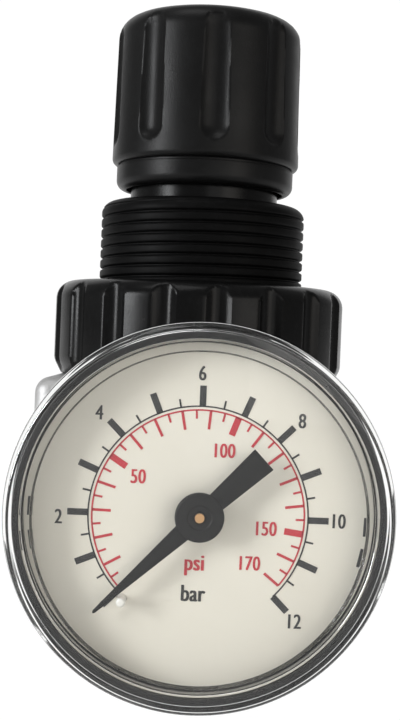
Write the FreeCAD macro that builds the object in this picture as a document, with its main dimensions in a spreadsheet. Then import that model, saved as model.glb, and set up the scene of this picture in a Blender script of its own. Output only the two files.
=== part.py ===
import FreeCAD, Part
import math
import os
import re
import Sketcher
from FreeCAD import Placement, Rotation, Vector

# Miniature carbon dioxide regulator with a back-connected pressure gauge.
# Lengths are in millimetres. +Z runs up the knob's axis, the gauge faces -Y and the origin is on the
# axis at the skirt's shoulder, where a panel seats.

document = FreeCAD.newDocument("regulator")
sheet = document.addObject("Spreadsheet::Sheet", "Sizes")

driving = {
    # shared gaps
    "running_gap": 0.05, "thread_gap": 0.04, "free_gap": 0.3, "seat_gap": 0.02,
    "fine_gap": 0.1, "cut_over": 1.0, "edge_break": 0.5, "fine_bevel": 0.2,
    # bonnet: fluted skirt, panel neck and throat
    "neck_radius": 15.0, "neck_height": 11.3, "neck_round": 1.8, "neck_wall": 3.2,
    "neck_pitch": 1.5, "thread_depth": 0.42, "thread_mouth": 0.55, "thread_root": 0.1,
    "throat_radius": 10.87, "throat_wall": 1.9, "throat_top": 24.8, "throat_roof": 2.5,
    "throat_round": 0.8,
    "skirt_radius": 21.2, "skirt_height": 14.2, "skirt_round": 2.6, "skirt_wall": 2.9, "seat_drop": 0.6,
    "skirt_chamfer": 1.1, "skirt_chamfer_height": 2.1,
    "skirt_flutes": 18, "skirt_flute_depth": 0.85, "skirt_flute_cutter": 2.1,
    "bead_height": 1.0, "bead_rise": 0.35, "bead_slope": 0.3, "bead_root": 0.5,
    "spline_count": 24, "spline_depth": 0.55, "spline_height": 1.7, "spline_low": 14.9,
    "spline_sink": 0.3, "spline_foot": 0.24, "spline_land": 0.14,
    "keyway_width": 3.0, "keyway_depth": 0.9,
    # knob
    "knob_gap": 0.73, "knob_swell": 0.75, "knob_taper": 0.35, "knob_top": 38.4, "knob_step": 16.84,
    "knob_groove": 0.3, "knob_groove_height": 0.3, "lip_low": 13.2,
    "knob_wall": 1.45, "knob_roof": 2.5, "knob_round": 3.0, "lip_round": 1.1, "step_round": 0.9,
    "lock_travel": 1.8,
    "grip_grooves": 9, "grip_depth": 0.95, "grip_cutter": 2.4, "grip_low": 18.8, "grip_high": 36.8,
    "grip_deg": 3.4, "boss_radius": 6.0, "drive_flats": 6.9,
    # adjusting screw, washer and nut
    "screw_radius": 4.0, "screw_lead": 4.5, "flange_radius": 6.6, "flange_height": 1.5,
    "washer_height": 0.5, "washer_margin": 0.6, "drive_high": 32.5, "drive_depth": 0.3,
    "nut_hub_height": 4.6, "nut_flange_height": 2.0,
    "nut_bevel": 0.6, "nut_bevel_height": 0.8,
    "screw_pitch": 1.25, "knob_turns": 5,
    # regulating spring
    "spring_gap": 0.67, "spring_wire": 1.1, "spring_turns": 5.5,
    # diaphragm and what it carries
    "clamp_low": 6.0, "diaphragm_height": 0.8, "slip_height": 0.5, "slip_setback": 0.4,
    "sheet_margin": 0.6, "plate_margin": 2.1, "plate_height": 1.2, "plate_rim": 1.0, "plate_rim_width": 0.9,
    "roll_share": 0.28, "roll_crest_share": 0.57, "roll_rise": 0.36,
    "relief_radius": 2.4, "relief_flange": 4.2, "relief_flange_height": 1.2, "relief_rivet": 3.4,
    "relief_bore": 0.54, "rivet_height": 0.7,
    # body
    "body_left": 21.9, "body_right": 20.5, "body_depth": 40.0, "body_high": 14.3, "body_low": 40.0,
    "body_round": 2.2, "collar_wall": 4.9, "port_low": 27.2, "port_radius": 5.72, "port_length": 11.0,
    "port_lap": 1.9, "sense_low": 12.0, "seat_high": 23.0, "sense_radius": 0.96, "sense_inset": 0.3,
    "seat_radius": 2.6, "seat_rim": 4.2, "seat_bevel": 1.2, "seat_bevel_height": 0.8, "valve_bore": 7.0,
    "passage_radius": 1.6,
    "inlet_radius": 3.2, "plug_bore": 9.4, "plug_bore_height": 8.0,
    # valve
    "stem_radius": 0.9, "stem_low": 33.6, "valve_radius": 4.6, "valve_height": 1.8,
    "poppet_height": 2.2, "poppet_radius": 5.2, "stem_bevel": 0.4,
    "valve_spring_radius": 3.6, "valve_spring_wire": 0.35, "valve_spring_turns": 5,
    # bottom plug
    "plug_flange_radius": 11.2, "plug_flange_height": 2.2, "plug_hex_flats": 17.0,
    "plug_hex_height": 2.0, "plug_wall": 3.0, "plug_floor": 1.0, "plug_lip": 1.0, "guide_wall": 1.2,
    "guide_rise": 1.6, "plug_skin": 1.6, "ring_cord": 0.9, "ring_seat": 1.53, "ring_round": 0.756,
    # rear gauge-port plug
    "stopper_flange_radius": 6.4, "stopper_flange_height": 2.4, "stopper_flats": 5.0,
    "stopper_socket": 3.0, "stopper_relief": 1.6, "thread_lead": 0.6,
    # gauge case and window; lengths run forward from the body's front face
    "window_radius": 20.4, "window_wall": 1.0, "case_step": 0.4, "case_back": 11.6,
    "case_floor": 1.5, "case_rim_gap": 0.7, "case_back_round": 1.2,
    "window_front": 37.65, "window_skirt_depth": 6.9, "window_bevel": 0.6, "pane_recess": 0.5,
    "pane_height": 1.0, "pane_edge": 3.1, "spigot_wall": 0.65, "spigot_depth": 2.2,
    "dial_front": 33.5, "dial_height": 0.5, "dial_margin": 0.4, "dial_hole": 1.6,
    "ledge_width": 0.9,
    # gauge stem
    "stem_thread": 4.85, "stem_relief": 0.9, "stem_lead": 0.7, "stem_step": 0.8, "stem_hex_margin": 0.8,
    "stem_hex_back": 2.4, "stem_collar": 6.4, "block_width": 11.0, "block_height": 14.0,
    "block_depth": 10.4, "drop_margin": 1.8, "block_drop_width": 6.0, "block_shoulder": 2.0,
    "crown_margin": 1.92, "case_screw_radius": 1.2, "case_screw_head": 2.2, "case_screw_share": 0.735,
    "case_screw_grip": 4.0, "case_screw_head_height": 1.2, "slot_margin_deg": 1.0,
    # Bourdon tube: angles run anticlockwise from the right
    "tube_radius": 13.2, "tube_thick": 1.4, "tube_deep": 4.2, "tube_wall": 0.25, "tube_middle": 17.6,
    "tube_root_deg": -93.0, "tube_sweep_deg": 255.0, "tube_grip_deg": 12.0, "tip_sweep_deg": 14.0,
    "tip_margin": 0.5,
    "tip_pin": 0.4, "tube_corner_share": 0.6, "tube_seam_deg": 0.1,
    # movement: plates, pillars, sector and pinion
    "movement_plate": 0.8, "movement_gap": 4.4, "plate_half": 3.6, "plate_corner": 1.8,
    "pillar_radius": 1.1,
    "pillar_front": 5.0, "pillar_rear": 3.0, "pillar_deg": -20.0, "screw_head": 1.1,
    "screw_head_height": 0.6, "plate_screw": 0.6, "plate_screw_across": 2.4, "plate_screw_along": 1.5,
    "arbor_radius": 0.5, "gear_module": 0.25, "pinion_teeth": 10, "sector_teeth": 80, "sector_cut": 10,
    "gear_height": 1.0, "gear_lift": 1.6, "tooth_share": 0.4, "tooth_tip": 0.4, "tooth_rise": 0.2,
    "tooth_fall": 0.28, "tooth_sink": 0.1,
    "sector_arbor_radius": 0.6, "sector_deg": -62.0, "sector_hub": 1.5, "sector_rim": 1.1,
    "web_half": 1.2, "web_window_low": 3.3, "web_window_rim": 1.76, "web_window_deg": 8.0,
    "sector_tail": 5.2, "sector_tail_deg": -30.4, "sector_tail_half": 0.75,
    "link_height": 0.4, "link_half": 0.7, "link_eye": 1.1, "link_play": 0.3,
    "collet_radius": 1.1, "collet_height": 0.8, "spring_level": 3.2, "hairspring_pitch": 0.5,
    "hairspring_turns": 4, "hairspring_thick": 0.12, "hairspring_height": 0.4, "stud_radius": 0.35,
    # pointer, with the angle of its rest anticlockwise from the right
    "pointer_rest_deg": 224.0, "pointer_length": 15.0, "pointer_tail": 9.1, "pointer_hub": 2.6,
    "hub_foot": 1.3, "hub_drop": 0.3, "blade_root": 2.08,
    "pointer_width": 2.0, "pointer_tip_width": 0.35, "pointer_tail_width": 2.9,
    "pointer_height": 0.35, "pointer_lift": 1.5, "pointer_hub_height": 0.9,
    "stop_radius": 12.1, "stop_pin": 0.5, "stop_ahead_deg": 5.4,
    "stop_height": 2.3,
}

# sizes that follow from those above
derived = {
    "lip_radius": "throat_radius + knob_gap + knob_wall",
    "knob_radius": "lip_radius + knob_swell",
    "knob_top_radius": "knob_radius - knob_taper",
    "spring_radius": "throat_radius - throat_wall - spring_gap - spring_wire",
    "nut_hub_radius": "spring_radius - spring_wire - 2 * fine_gap",
    "chamber_radius": "skirt_radius - skirt_wall - collar_wall",
    "plate_radius": "spring_radius + spring_wire + plate_margin",
    "roll_half": "(chamber_radius - plate_radius) * roll_share",
    "roll_crest": "roll_half * roll_crest_share",
    "gauge_port_length": "body_depth / 2 - chamber_radius + port_lap",
    "stem_thread_length": "gauge_port_length - stem_relief",
    "case_radius": "window_radius - case_step",
    "case_rim_radius": "window_radius - window_wall",
    "pane_radius": "window_radius - pane_edge",
    "dial_radius": "case_rim_radius - case_rim_gap - dial_margin",
    "stem_hex_flats": "tube_radius + stem_hex_margin",
    "case_screw_reach": "tube_radius * case_screw_share",
    "block_drop": "tube_radius + drop_margin",
}

for row, (alias, number) in enumerate({**driving, **derived}.items(), start=1):
    sheet.set("A%d" % row, alias)
    sheet.set("B%d" % row, "=%s" % number)
    sheet.setAlias("B%d" % row, alias)
document.recompute()

tolerance = 0.001
words = re.compile(r"\b(" + "|".join(sorted([*driving, *derived], key=len, reverse=True)) + r")\b")
pieces = []


def named(expression):
    # an alias stands for its cell of the sheet
    return words.sub(r"Sizes.\1", str(expression))


def value(expression):
    return float(sheet.evalExpression(named(expression)))


def bind(thing, **fields):
    for field, expression in fields.items():
        thing.setExpression(field.replace("_", "."), named(expression))


def finish(piece, label, turn=None, base=None):
    # a piece's label names its file; turn is an axis and an angle, base three lengths
    piece.Label = label
    if turn:
        piece.Placement = Placement(Vector(), Rotation(turn[0], 1.0))
        piece.setExpression("Placement.Rotation.Angle", named(turn[1]))
    if base:
        for side, length in zip("xyz", base):
            piece.setExpression("Placement.Base." + side, named(length))
    pieces.append(piece)
    return piece


def forward(piece, label, spin="0", across="0", up="0"):
    # gauge pieces are drawn with +Z towards the reader and stand on the body's front face
    piece.Label = label
    tilt = Rotation(Vector(1, 0, 0), 90)
    piece.Placement = Placement(Vector(), tilt.multiply(Rotation(Vector(0, 0, 1), value(spin))))
    piece.setExpression("Placement.Base.x", named(across))
    piece.setExpression("Placement.Base.y", named("-body_depth / 2"))
    piece.setExpression("Placement.Base.z", named("%s - port_low" % up))
    pieces.append(piece)
    return piece


def new_body(name):
    return document.addObject("PartDesign::Body", name)


def plane(body, role):
    return [feature for feature in body.Origin.OriginFeatures if feature.Role == role][0]


def new_sketch(body, name, role, lift=None, turn=None):
    sketch = body.newObject("Sketcher::SketchObject", name)
    sketch.AttachmentSupport = [(plane(body, role), "")]
    sketch.MapMode = "FlatFace"
    if lift is not None:
        sketch.setExpression("AttachmentOffset.Base.z", named(lift))
    if turn is not None:
        sketch.AttachmentOffset = Placement(Vector(), Rotation(Vector(0, 1, 0), 1.0))
        sketch.setExpression("AttachmentOffset.Rotation.Angle", named(turn))
    return sketch


def place_point(sketch, edge, end, corner):
    # a length of None leaves that direction free
    for kind, expression in zip(("DistanceX", "DistanceY"), corner):
        if expression is None:
            continue
        number = sketch.addConstraint(Sketcher.Constraint(kind, -1, 1, edge, end, value(expression)))
        sketch.setExpression("Constraints[%d]" % number, named(expression))


def polygon(sketch, corners):
    # a closed outline of straight runs, each corner held by two lengths from the sketch's origin
    points = [Vector(value(first), value(second), 0) for first, second in corners]
    first_edge = sketch.GeometryCount
    for index, point in enumerate(points):
        sketch.addGeometry(Part.LineSegment(point, points[(index + 1) % len(points)]), False)
    for index in range(len(points)):
        following = first_edge + (index + 1) % len(points)
        sketch.addConstraint(Sketcher.Constraint("Coincident", first_edge + index, 2, following, 1))
    for index, corner in enumerate(corners):
        place_point(sketch, first_edge + index, 1, corner)


def circle(sketch, radius, across="0", up="0"):
    centre = Vector(value(across), value(up), 0)
    edge = sketch.addGeometry(Part.Circle(centre, Vector(0, 0, 1), value(radius)), False)
    number = sketch.addConstraint(Sketcher.Constraint("Radius", edge, value(radius)))
    sketch.setExpression("Constraints[%d]" % number, named(radius))
    place_point(sketch, edge, 3, (across, up))


def rectangle(sketch, left, right, low, high):
    polygon(sketch, [(left, low), (right, low), (right, high), (left, high)])


def bar(sketch, length, half, turn="0 deg"):
    # a straight bar from the origin, the given length along a direction
    corners = []
    for along, side in (("0", -1), (length, -1), (length, 1), ("0", 1)):
        corners.append(("(%s) * cos(%s) - %d * (%s) * sin(%s)" % (along, turn, side, half, turn),
                        "(%s) * sin(%s) + %d * (%s) * cos(%s)" % (along, turn, side, half, turn)))
    polygon(sketch, corners)


def hexagon(flats):
    # corners of a hexagon of the given width across flats, points to the sides
    reach = "(%s) / 2 / cos(30 deg)" % flats
    turns = range(0, 360, 60)
    return [("%s * cos(%d deg)" % (reach, turn), "%s * sin(%d deg)" % (reach, turn)) for turn in turns]


def turned(body, name, corners, cut=False):
    # a profile of radius and height, revolved about Z
    sketch = new_sketch(body, name + "Profile", "XZ_Plane")
    polygon(sketch, corners)
    feature = body.newObject("PartDesign::Groove" if cut else "PartDesign::Revolution", name)
    feature.Profile = sketch
    feature.ReferenceAxis = (sketch, ["V_Axis"])
    feature.Angle = 360
    document.recompute()
    return feature


def raised(body, name, sketch, length, cut=False, down=False):
    feature = body.newObject("PartDesign::Pocket" if cut else "PartDesign::Pad", name)
    feature.Profile = sketch
    feature.Reversed = down != cut
    feature.setExpression("Length", named(length))
    document.recompute()
    return feature


def around(body, name, feature, count):
    pattern = body.newObject("PartDesign::PolarPattern", name)
    pattern.Originals = [feature]
    pattern.Axis = (plane(body, "Z_Axis"), [""])
    pattern.Angle = 360
    pattern.setExpression("Occurrences", named(count))
    body.Tip = pattern
    document.recompute()
    return pattern


def rings(feature, *places):
    # the circular edges of a feature at given radii and heights
    found = []
    for number, edge in enumerate(feature.Shape.Edges, start=1):
        if not isinstance(edge.Curve, Part.Circle) or edge.Length < edge.Curve.Radius * 6:
            continue
        for radius, height in places:
            off_radius = abs(edge.Curve.Radius - value(radius))
            off_height = abs(edge.Curve.Center.z - value(height))
            if max(off_radius, off_height) < tolerance:
                found.append("Edge%d" % number)
    return found


def rounded(body, name, feature, size, *places, bevel=False):
    dressing = body.newObject("PartDesign::Chamfer" if bevel else "PartDesign::Fillet", name)
    dressing.Base = (feature, rings(feature, *places))
    dressing.setExpression("Size" if bevel else "Radius", named(size))
    document.recompute()
    return dressing


def washer_shape(name, outer, inner, low, high):
    body = new_body(name)
    turned(body, name + "Ring", [(inner, low), (outer, low), (outer, high), (inner, high)])
    return body


# Heights that several pieces share
clamp_z = "(-clamp_low + diaphragm_height + slip_height)"
roof_z = "(throat_top - throat_roof)"
flange_low = "(%s - washer_height - flange_height - 2 * seat_gap)" % roof_z
nut_top = "(%s - free_gap)" % flange_low
plate_top = "(-clamp_low + diaphragm_height + plate_height)"
valve_top = "(-seat_high - fine_gap)"
tooth_low = "(spline_low + lock_travel)"
bead_low = "(%s + spline_height + fine_gap)" % tooth_low
throat_bore = "(throat_radius - throat_wall)"
collar_radius = "(skirt_radius - skirt_wall)"
knob_bore = "(lip_radius - knob_wall)"


def make_bonnet():
    body = new_body("Bonnet")
    bore = "neck_radius - neck_wall"
    form = turned(body, "BonnetForm", [
        (collar_radius + " + thread_gap", "-skirt_height"),
        ("skirt_radius - skirt_chamfer", "-skirt_height"),
        ("skirt_radius", "-skirt_height + skirt_chamfer_height"), ("skirt_radius", "-seat_drop"),
        ("neck_radius", "-seat_drop"),
        ("neck_radius", "neck_height"), ("throat_radius", "neck_height"), ("throat_radius", "throat_top"),
        ("screw_radius + running_gap", "throat_top"), ("screw_radius + running_gap", roof_z),
        (throat_bore, roof_z), (throat_bore, "neck_height - neck_wall"), (bore, "neck_height - neck_wall"),
        (bore, clamp_z), (collar_radius + " + thread_gap", clamp_z)])
    shoulder = rounded(body, "ShoulderRound", form, "skirt_round", ("skirt_radius", "-seat_drop"))
    lead = rounded(body, "NeckRound", shoulder, "neck_round", ("neck_radius", "neck_height"))
    rounded(body, "ThroatRound", lead, "throat_round", ("throat_radius", "throat_top"))
    # the panel thread's ridges, as rings a pitch apart
    root = "neck_radius - thread_depth"
    mouth = "thread_mouth / 2"
    valley = turned(body, "ThreadValley", [
        (root, "(neck_pitch - thread_root) / 2"), ("neck_radius", "neck_pitch / 2 - " + mouth),
        ("neck_radius + cut_over", "neck_pitch / 2 - " + mouth),
        ("neck_radius + cut_over", "neck_pitch / 2 + " + mouth),
        ("neck_radius", "neck_pitch / 2 + " + mouth), (root, "(neck_pitch + thread_root) / 2")], cut=True)
    valleys = body.newObject("PartDesign::LinearPattern", "ThreadValleys")
    valleys.Originals = [valley]
    valleys.Direction = (plane(body, "Z_Axis"), [""])
    valleys.Mode = "Spacing"
    valleys.setExpression("Offset", named("neck_pitch"))
    valleys.setExpression("Occurrences", named("floor((neck_height - neck_round) / neck_pitch)"))
    body.Tip = valleys
    document.recompute()
    ring = new_sketch(body, "BeadProfile", "XZ_Plane")
    bead_high = bead_low + " + bead_height"
    polygon(ring, [("throat_radius - bead_root", bead_low), ("throat_radius", bead_low),
                   ("throat_radius + bead_rise", bead_low + " + bead_slope"),
                   ("throat_radius + bead_rise", bead_high + " - bead_slope"),
                   ("throat_radius", bead_high), ("throat_radius - bead_root", bead_high)])
    bead = body.newObject("PartDesign::Revolution", "Bead")
    bead.Profile = ring
    bead.ReferenceAxis = (ring, ["V_Axis"])
    bead.Angle = 360
    document.recompute()
    # flutes run down the skirt and fade out on its rounded shoulder
    flute = new_sketch(body, "FluteProfile", "XY_Plane")
    circle(flute, "skirt_flute_cutter", "0", "-(skirt_radius + skirt_flute_cutter - skirt_flute_depth)")
    cut = raised(body, "Flute", flute, "skirt_height + cut_over", cut=True, down=True)
    around(body, "Flutes", cut, "skirt_flutes")
    # lock splines
    spline = new_sketch(body, "SplineProfile", "XY_Plane", lift="spline_low")
    polygon(spline, spline_corners("throat_radius", "throat_radius + spline_depth",
                                   "throat_radius - spline_sink", 0))
    tooth = raised(body, "Spline", spline, "spline_height")
    around(body, "Splines", tooth, "spline_count")
    # two keyways hold the nut from turning
    keyway = new_sketch(body, "KeywayProfile", "XY_Plane", lift=clamp_z)
    reach = throat_bore + " + keyway_depth"
    polygon(keyway, [("-(%s)" % reach, "-keyway_width / 2"), (reach, "-keyway_width / 2"),
                     (reach, "keyway_width / 2"), ("-(%s)" % reach, "keyway_width / 2")])
    raised(body, "Keyways", keyway, "%s - %s" % (roof_z, clamp_z), cut=True)
    finish(body, "bonnet")


def spline_corners(root, crest, anchor, phase):
    # one tooth of a ring of splines, centred at the given share of a pitch, its root sunk to the anchor
    corners = []
    for radius, share in ((anchor, "-spline_foot"), (root, "-spline_foot"), (crest, "-spline_land"),
                          (crest, "spline_land"), (root, "spline_foot"), (anchor, "spline_foot")):
        turn = "((%s + %s) * 360 deg / spline_count)" % (share, phase)
        corners.append(("(%s) * cos(%s)" % (radius, turn), "(%s) * sin(%s)" % (radius, turn)))
    return corners


def make_knob():
    body = new_body("Knob")
    groove_low = "knob_step - knob_groove_height"
    ceiling = "knob_top - knob_roof"
    boss_low = "throat_top + lock_travel + free_gap"
    form = turned(body, "KnobForm", [
        ("0", "knob_top"), ("knob_top_radius", "knob_top"), ("knob_radius", "knob_step"),
        ("lip_radius - knob_groove", "knob_step"), ("lip_radius - knob_groove", groove_low),
        ("lip_radius", groove_low), ("lip_radius", "lip_low"), (knob_bore, "lip_low"),
        (knob_bore, ceiling), ("boss_radius", ceiling), ("boss_radius", boss_low), ("0", boss_low)])
    crown = rounded(body, "CrownRound", form, "knob_round", ("knob_top_radius", "knob_top"))
    step = rounded(body, "StepRound", crown, "step_round", ("knob_radius", "knob_step"))
    lip = rounded(body, "LipRound", step, "lip_round", ("lip_radius", "lip_low"))
    socket = new_sketch(body, "SocketProfile", "XY_Plane", lift=boss_low)
    polygon(socket, hexagon("drive_flats + 4 * running_gap"))
    raised(body, "Socket", socket, "drive_high + lock_travel + drive_depth - (%s)" % boss_low, cut=True)
    # grip grooves: a round-ended cutter lying along the knob bites into its side
    axis_y = "-(knob_radius + grip_cutter - grip_depth)"
    grip = new_sketch(body, "GripProfile", "YZ_Plane", turn="grip_deg")
    centre_low = Vector(value(axis_y), value("grip_low + grip_cutter"), 0)
    centre_high = Vector(value(axis_y), value("grip_high - grip_cutter"), 0)
    radius = value("grip_cutter")
    bottom = grip.addGeometry(Part.ArcOfCircle(Part.Circle(centre_low, Vector(0, 0, 1), radius),
                                               -math.pi / 2, 0), False)
    side = grip.addGeometry(Part.LineSegment(centre_low + Vector(radius, 0, 0),
                                             centre_high + Vector(radius, 0, 0)), False)
    top = grip.addGeometry(Part.ArcOfCircle(Part.Circle(centre_high, Vector(0, 0, 1), radius),
                                            0, math.pi / 2), False)
    spine = grip.addGeometry(Part.LineSegment(centre_high + Vector(0, radius, 0),
                                              centre_low - Vector(0, radius, 0)), False)
    for first, second in ((bottom, side), (side, top), (top, spine), (spine, bottom)):
        grip.addConstraint(Sketcher.Constraint("Coincident", first, 2, second, 1))
    place_point(grip, bottom, 3, (axis_y, "grip_low + grip_cutter"))
    place_point(grip, bottom, 1, (axis_y, "grip_low"))
    place_point(grip, bottom, 2, (None, "grip_low + grip_cutter"))
    place_point(grip, top, 3, (axis_y, "grip_high - grip_cutter"))
    place_point(grip, top, 2, (axis_y, "grip_high"))
    place_point(grip, top, 1, (None, "grip_high - grip_cutter"))
    axis = grip.addGeometry(Part.LineSegment(centre_low, centre_high), True)
    place_point(grip, axis, 1, (axis_y, "grip_low + grip_cutter"))
    place_point(grip, axis, 2, (axis_y, "grip_high - grip_cutter"))
    groove = body.newObject("PartDesign::Groove", "Grip")
    groove.Profile = grip
    groove.ReferenceAxis = (grip, ["Axis0"])
    groove.Angle = 360
    document.recompute()
    around(body, "Grips", groove, "grip_grooves")
    # internal splines drop between those of the throat when the knob is pushed down
    spline = new_sketch(body, "SplineProfile", "XY_Plane", lift=tooth_low)
    polygon(spline, spline_corners(knob_bore, "throat_radius + running_gap * 3",
                                   knob_bore + " + spline_sink", 0.5))
    tooth = raised(body, "Spline", spline, "spline_height")
    around(body, "Splines", tooth, "spline_count")
    finish(body, "knob")


def make_screw():
    body = new_body("Screw")
    flange_high = "(%s + flange_height)" % flange_low
    foot = "(%s - nut_hub_height - knob_turns * screw_pitch - screw_lead)" % nut_top
    turned(body, "ScrewForm", [
        ("0", foot), ("screw_radius - edge_break", foot), ("screw_radius", foot + " + edge_break"),
        ("screw_radius", flange_low), ("flange_radius", flange_low), ("flange_radius", flange_high),
        ("screw_radius", flange_high), ("screw_radius", "throat_top"), ("0", "throat_top")])
    drive = new_sketch(body, "DriveProfile", "XY_Plane", lift="throat_top")
    polygon(drive, hexagon("drive_flats"))
    raised(body, "Drive", drive, "drive_high - throat_top")
    finish(body, "adjusting_screw")
    washer_low = "%s + seat_gap" % flange_high
    washer = washer_shape("Washer", "flange_radius + washer_margin", "screw_radius + 2 * running_gap",
                          washer_low, washer_low + " + washer_height")
    finish(washer, "thrust_washer")


def make_nut():
    body = new_body("Nut")
    flange_bottom = nut_top + " - nut_flange_height"
    hub_low = nut_top + " - nut_hub_height"
    rim = throat_bore + " - 4 * running_gap"
    turned(body, "NutForm", [
        ("screw_radius + running_gap", hub_low), ("nut_hub_radius - nut_bevel", hub_low),
        ("nut_hub_radius", hub_low + " + nut_bevel_height"),
        ("nut_hub_radius", flange_bottom), (rim, flange_bottom), (rim, nut_top),
        ("screw_radius + running_gap", nut_top)])
    for name, side in (("Left", "-1"), ("Right", "1")):
        lug = new_sketch(body, name + "LugProfile", "XY_Plane", lift=flange_bottom)
        inner = "%s * (%s - cut_over)" % (side, rim)
        outer = "%s * (%s + keyway_depth - 4 * running_gap)" % (side, throat_bore)
        half = "(keyway_width / 2 - 2 * running_gap)"
        polygon(lug, [(inner, "-" + half), (outer, "-" + half), (outer, half), (inner, half)])
        raised(body, name + "Lug", lug, "nut_flange_height")
    finish(body, "spring_nut")


def coil(label, mean, wire, low, high, turns, place=finish):
    # a compression spring of round wire between two heights
    body = new_body("".join(part.title() for part in label.split("_")))
    section = new_sketch(body, body.Name + "Section", "XZ_Plane")
    circle(section, wire, mean, "%s + %s" % (low, wire))
    helix = body.newObject("PartDesign::AdditiveHelix", body.Name + "Helix")
    helix.Profile = section
    helix.ReferenceAxis = (section, ["V_Axis"])
    helix.Mode = "height-turns-angle"
    helix.setExpression("Height", named("%s - (%s) - 2 * %s" % (high, low, wire)))
    helix.setExpression("Turns", named(turns))
    document.recompute()
    return place(body, label)


def make_diaphragm():
    low = "-clamp_low"
    high = "(-clamp_low + diaphragm_height)"
    roll = "((plate_radius + chamber_radius) / 2)"
    rise = " + roll_rise"
    body = new_body("Diaphragm")
    rim = collar_radius + " - sheet_margin"
    turned(body, "DiaphragmForm", [
        ("relief_radius + running_gap", low), (rim, low), (rim, high),
        ("relief_radius + running_gap", high)])
    for name, level, cut in (("RollHollow", low, True), ("RollCrest", high, False)):
        turned(body, name, [
            (roll + " - roll_half", level), (roll + " + roll_half", level),
            (roll + " + roll_crest", level + rise),
            (roll + " - roll_crest", level + rise)], cut=cut)
    finish(body, "diaphragm")
    finish(washer_shape("SlipRing", rim, "chamber_radius + slip_setback", high, clamp_z), "slip_ring")

    plate = new_body("DiaphragmPlate")
    turned(plate, "PlateForm", [
        ("relief_radius + running_gap", high + " + seat_gap"), ("plate_radius", high + " + seat_gap"),
        ("plate_radius", plate_top + " + plate_rim"),
        ("plate_radius - plate_rim_width", plate_top + " + plate_rim"),
        ("plate_radius - plate_rim_width", plate_top), ("relief_radius + running_gap", plate_top)])
    finish(plate, "diaphragm_plate")

    seat = new_body("ReliefSeat")
    flange = low + " - seat_gap"
    turned(seat, "ReliefForm", [
        ("relief_bore", flange + " - relief_flange_height"),
        ("relief_flange", flange + " - relief_flange_height"),
        ("relief_flange", flange), ("relief_radius", flange), ("relief_radius", plate_top + " + seat_gap"),
        ("relief_rivet", plate_top + " + seat_gap"), ("relief_rivet", plate_top + " + rivet_height"),
        ("relief_bore", plate_top + " + rivet_height")])
    finish(seat, "relief_seat")


def make_body():
    body = new_body("Housing")
    block = new_sketch(body, "BlockProfile", "XY_Plane", lift="-body_low")
    polygon(block, [("-body_left", "-body_depth / 2"), ("body_right", "-body_depth / 2"),
                    ("body_right", "body_depth / 2"), ("-body_left", "body_depth / 2")])
    pad = raised(body, "Block", block, "body_low - body_high")
    edges = []
    for number in range(1, len(pad.Shape.Edges) + 1):
        edges.append("Edge%d" % number)
    soft = body.newObject("PartDesign::Fillet", "BlockRound")
    soft.Base = (pad, edges)
    soft.setExpression("Radius", named("body_round"))
    document.recompute()
    turned(body, "Collar", [
        ("0", "-body_high - cut_over"), (collar_radius, "-body_high - cut_over"),
        (collar_radius, "-clamp_low"),
        ("0", "-clamp_low")])
    # sensing chamber, seat, valve chamber and the bottom plug's bore
    turned(body, "Bores", [
        ("0", "-clamp_low + cut_over"), ("chamber_radius", "-clamp_low + cut_over"),
        ("chamber_radius", "-sense_low"), ("seat_radius", "-sense_low"), ("seat_radius", "-seat_high"),
        ("seat_rim - seat_bevel", "-seat_high"), ("seat_rim", "-seat_high + seat_bevel_height"),
        ("valve_bore", "-seat_high + seat_bevel_height"), ("valve_bore", "-body_low + plug_bore_height"),
        ("plug_bore", "-body_low + plug_bore_height"), ("plug_bore", "-body_low - cut_over"),
        ("0", "-body_low - cut_over")], cut=True)
    # line ports left and right: the inlet opens into the valve chamber, the outlet is blind
    left = new_sketch(body, "InletProfile", "YZ_Plane", lift="-body_left - cut_over")
    circle(left, "port_radius", "0", "-port_low")
    raised(body, "Inlet", left, "port_length + cut_over", cut=True)
    inlet = new_sketch(body, "InletPassageProfile", "YZ_Plane", lift="-body_left")
    circle(inlet, "inlet_radius", "0", "-port_low")
    raised(body, "InletPassage", inlet, "body_left - valve_bore + 2 * cut_over", cut=True)
    right = new_sketch(body, "OutletProfile", "YZ_Plane", lift="body_right + cut_over")
    circle(right, "port_radius", "0", "-port_low")
    raised(body, "Outlet", right, "port_length + cut_over", cut=True, down=True)
    # gauge ports front and rear
    for name, side in (("Front", -1), ("Rear", 1)):
        port = new_sketch(body, name + "PortProfile", "XZ_Plane",
                          lift="%d * (body_depth / 2 + cut_over)" % -side)
        circle(port, "stem_thread + thread_gap", "0", "-port_low")
        raised(body, name + "Port", port, "gauge_port_length + cut_over", cut=True, down=side < 0)
    # upright passages from the outlet and the gauge ports to the sensing chamber
    rise = new_sketch(body, "PassageProfile", "XY_Plane", lift="-port_low")
    circle(rise, "passage_radius", "(body_right - port_length + passage_radius + fine_gap)", "0")
    for side in ("-1", "1"):
        circle(rise, "sense_radius", "0", side + " * (chamber_radius - sense_inset)")
    raised(body, "Passages", rise, "port_low - sense_low + cut_over / 2", cut=True)
    finish(body, "body")


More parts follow.
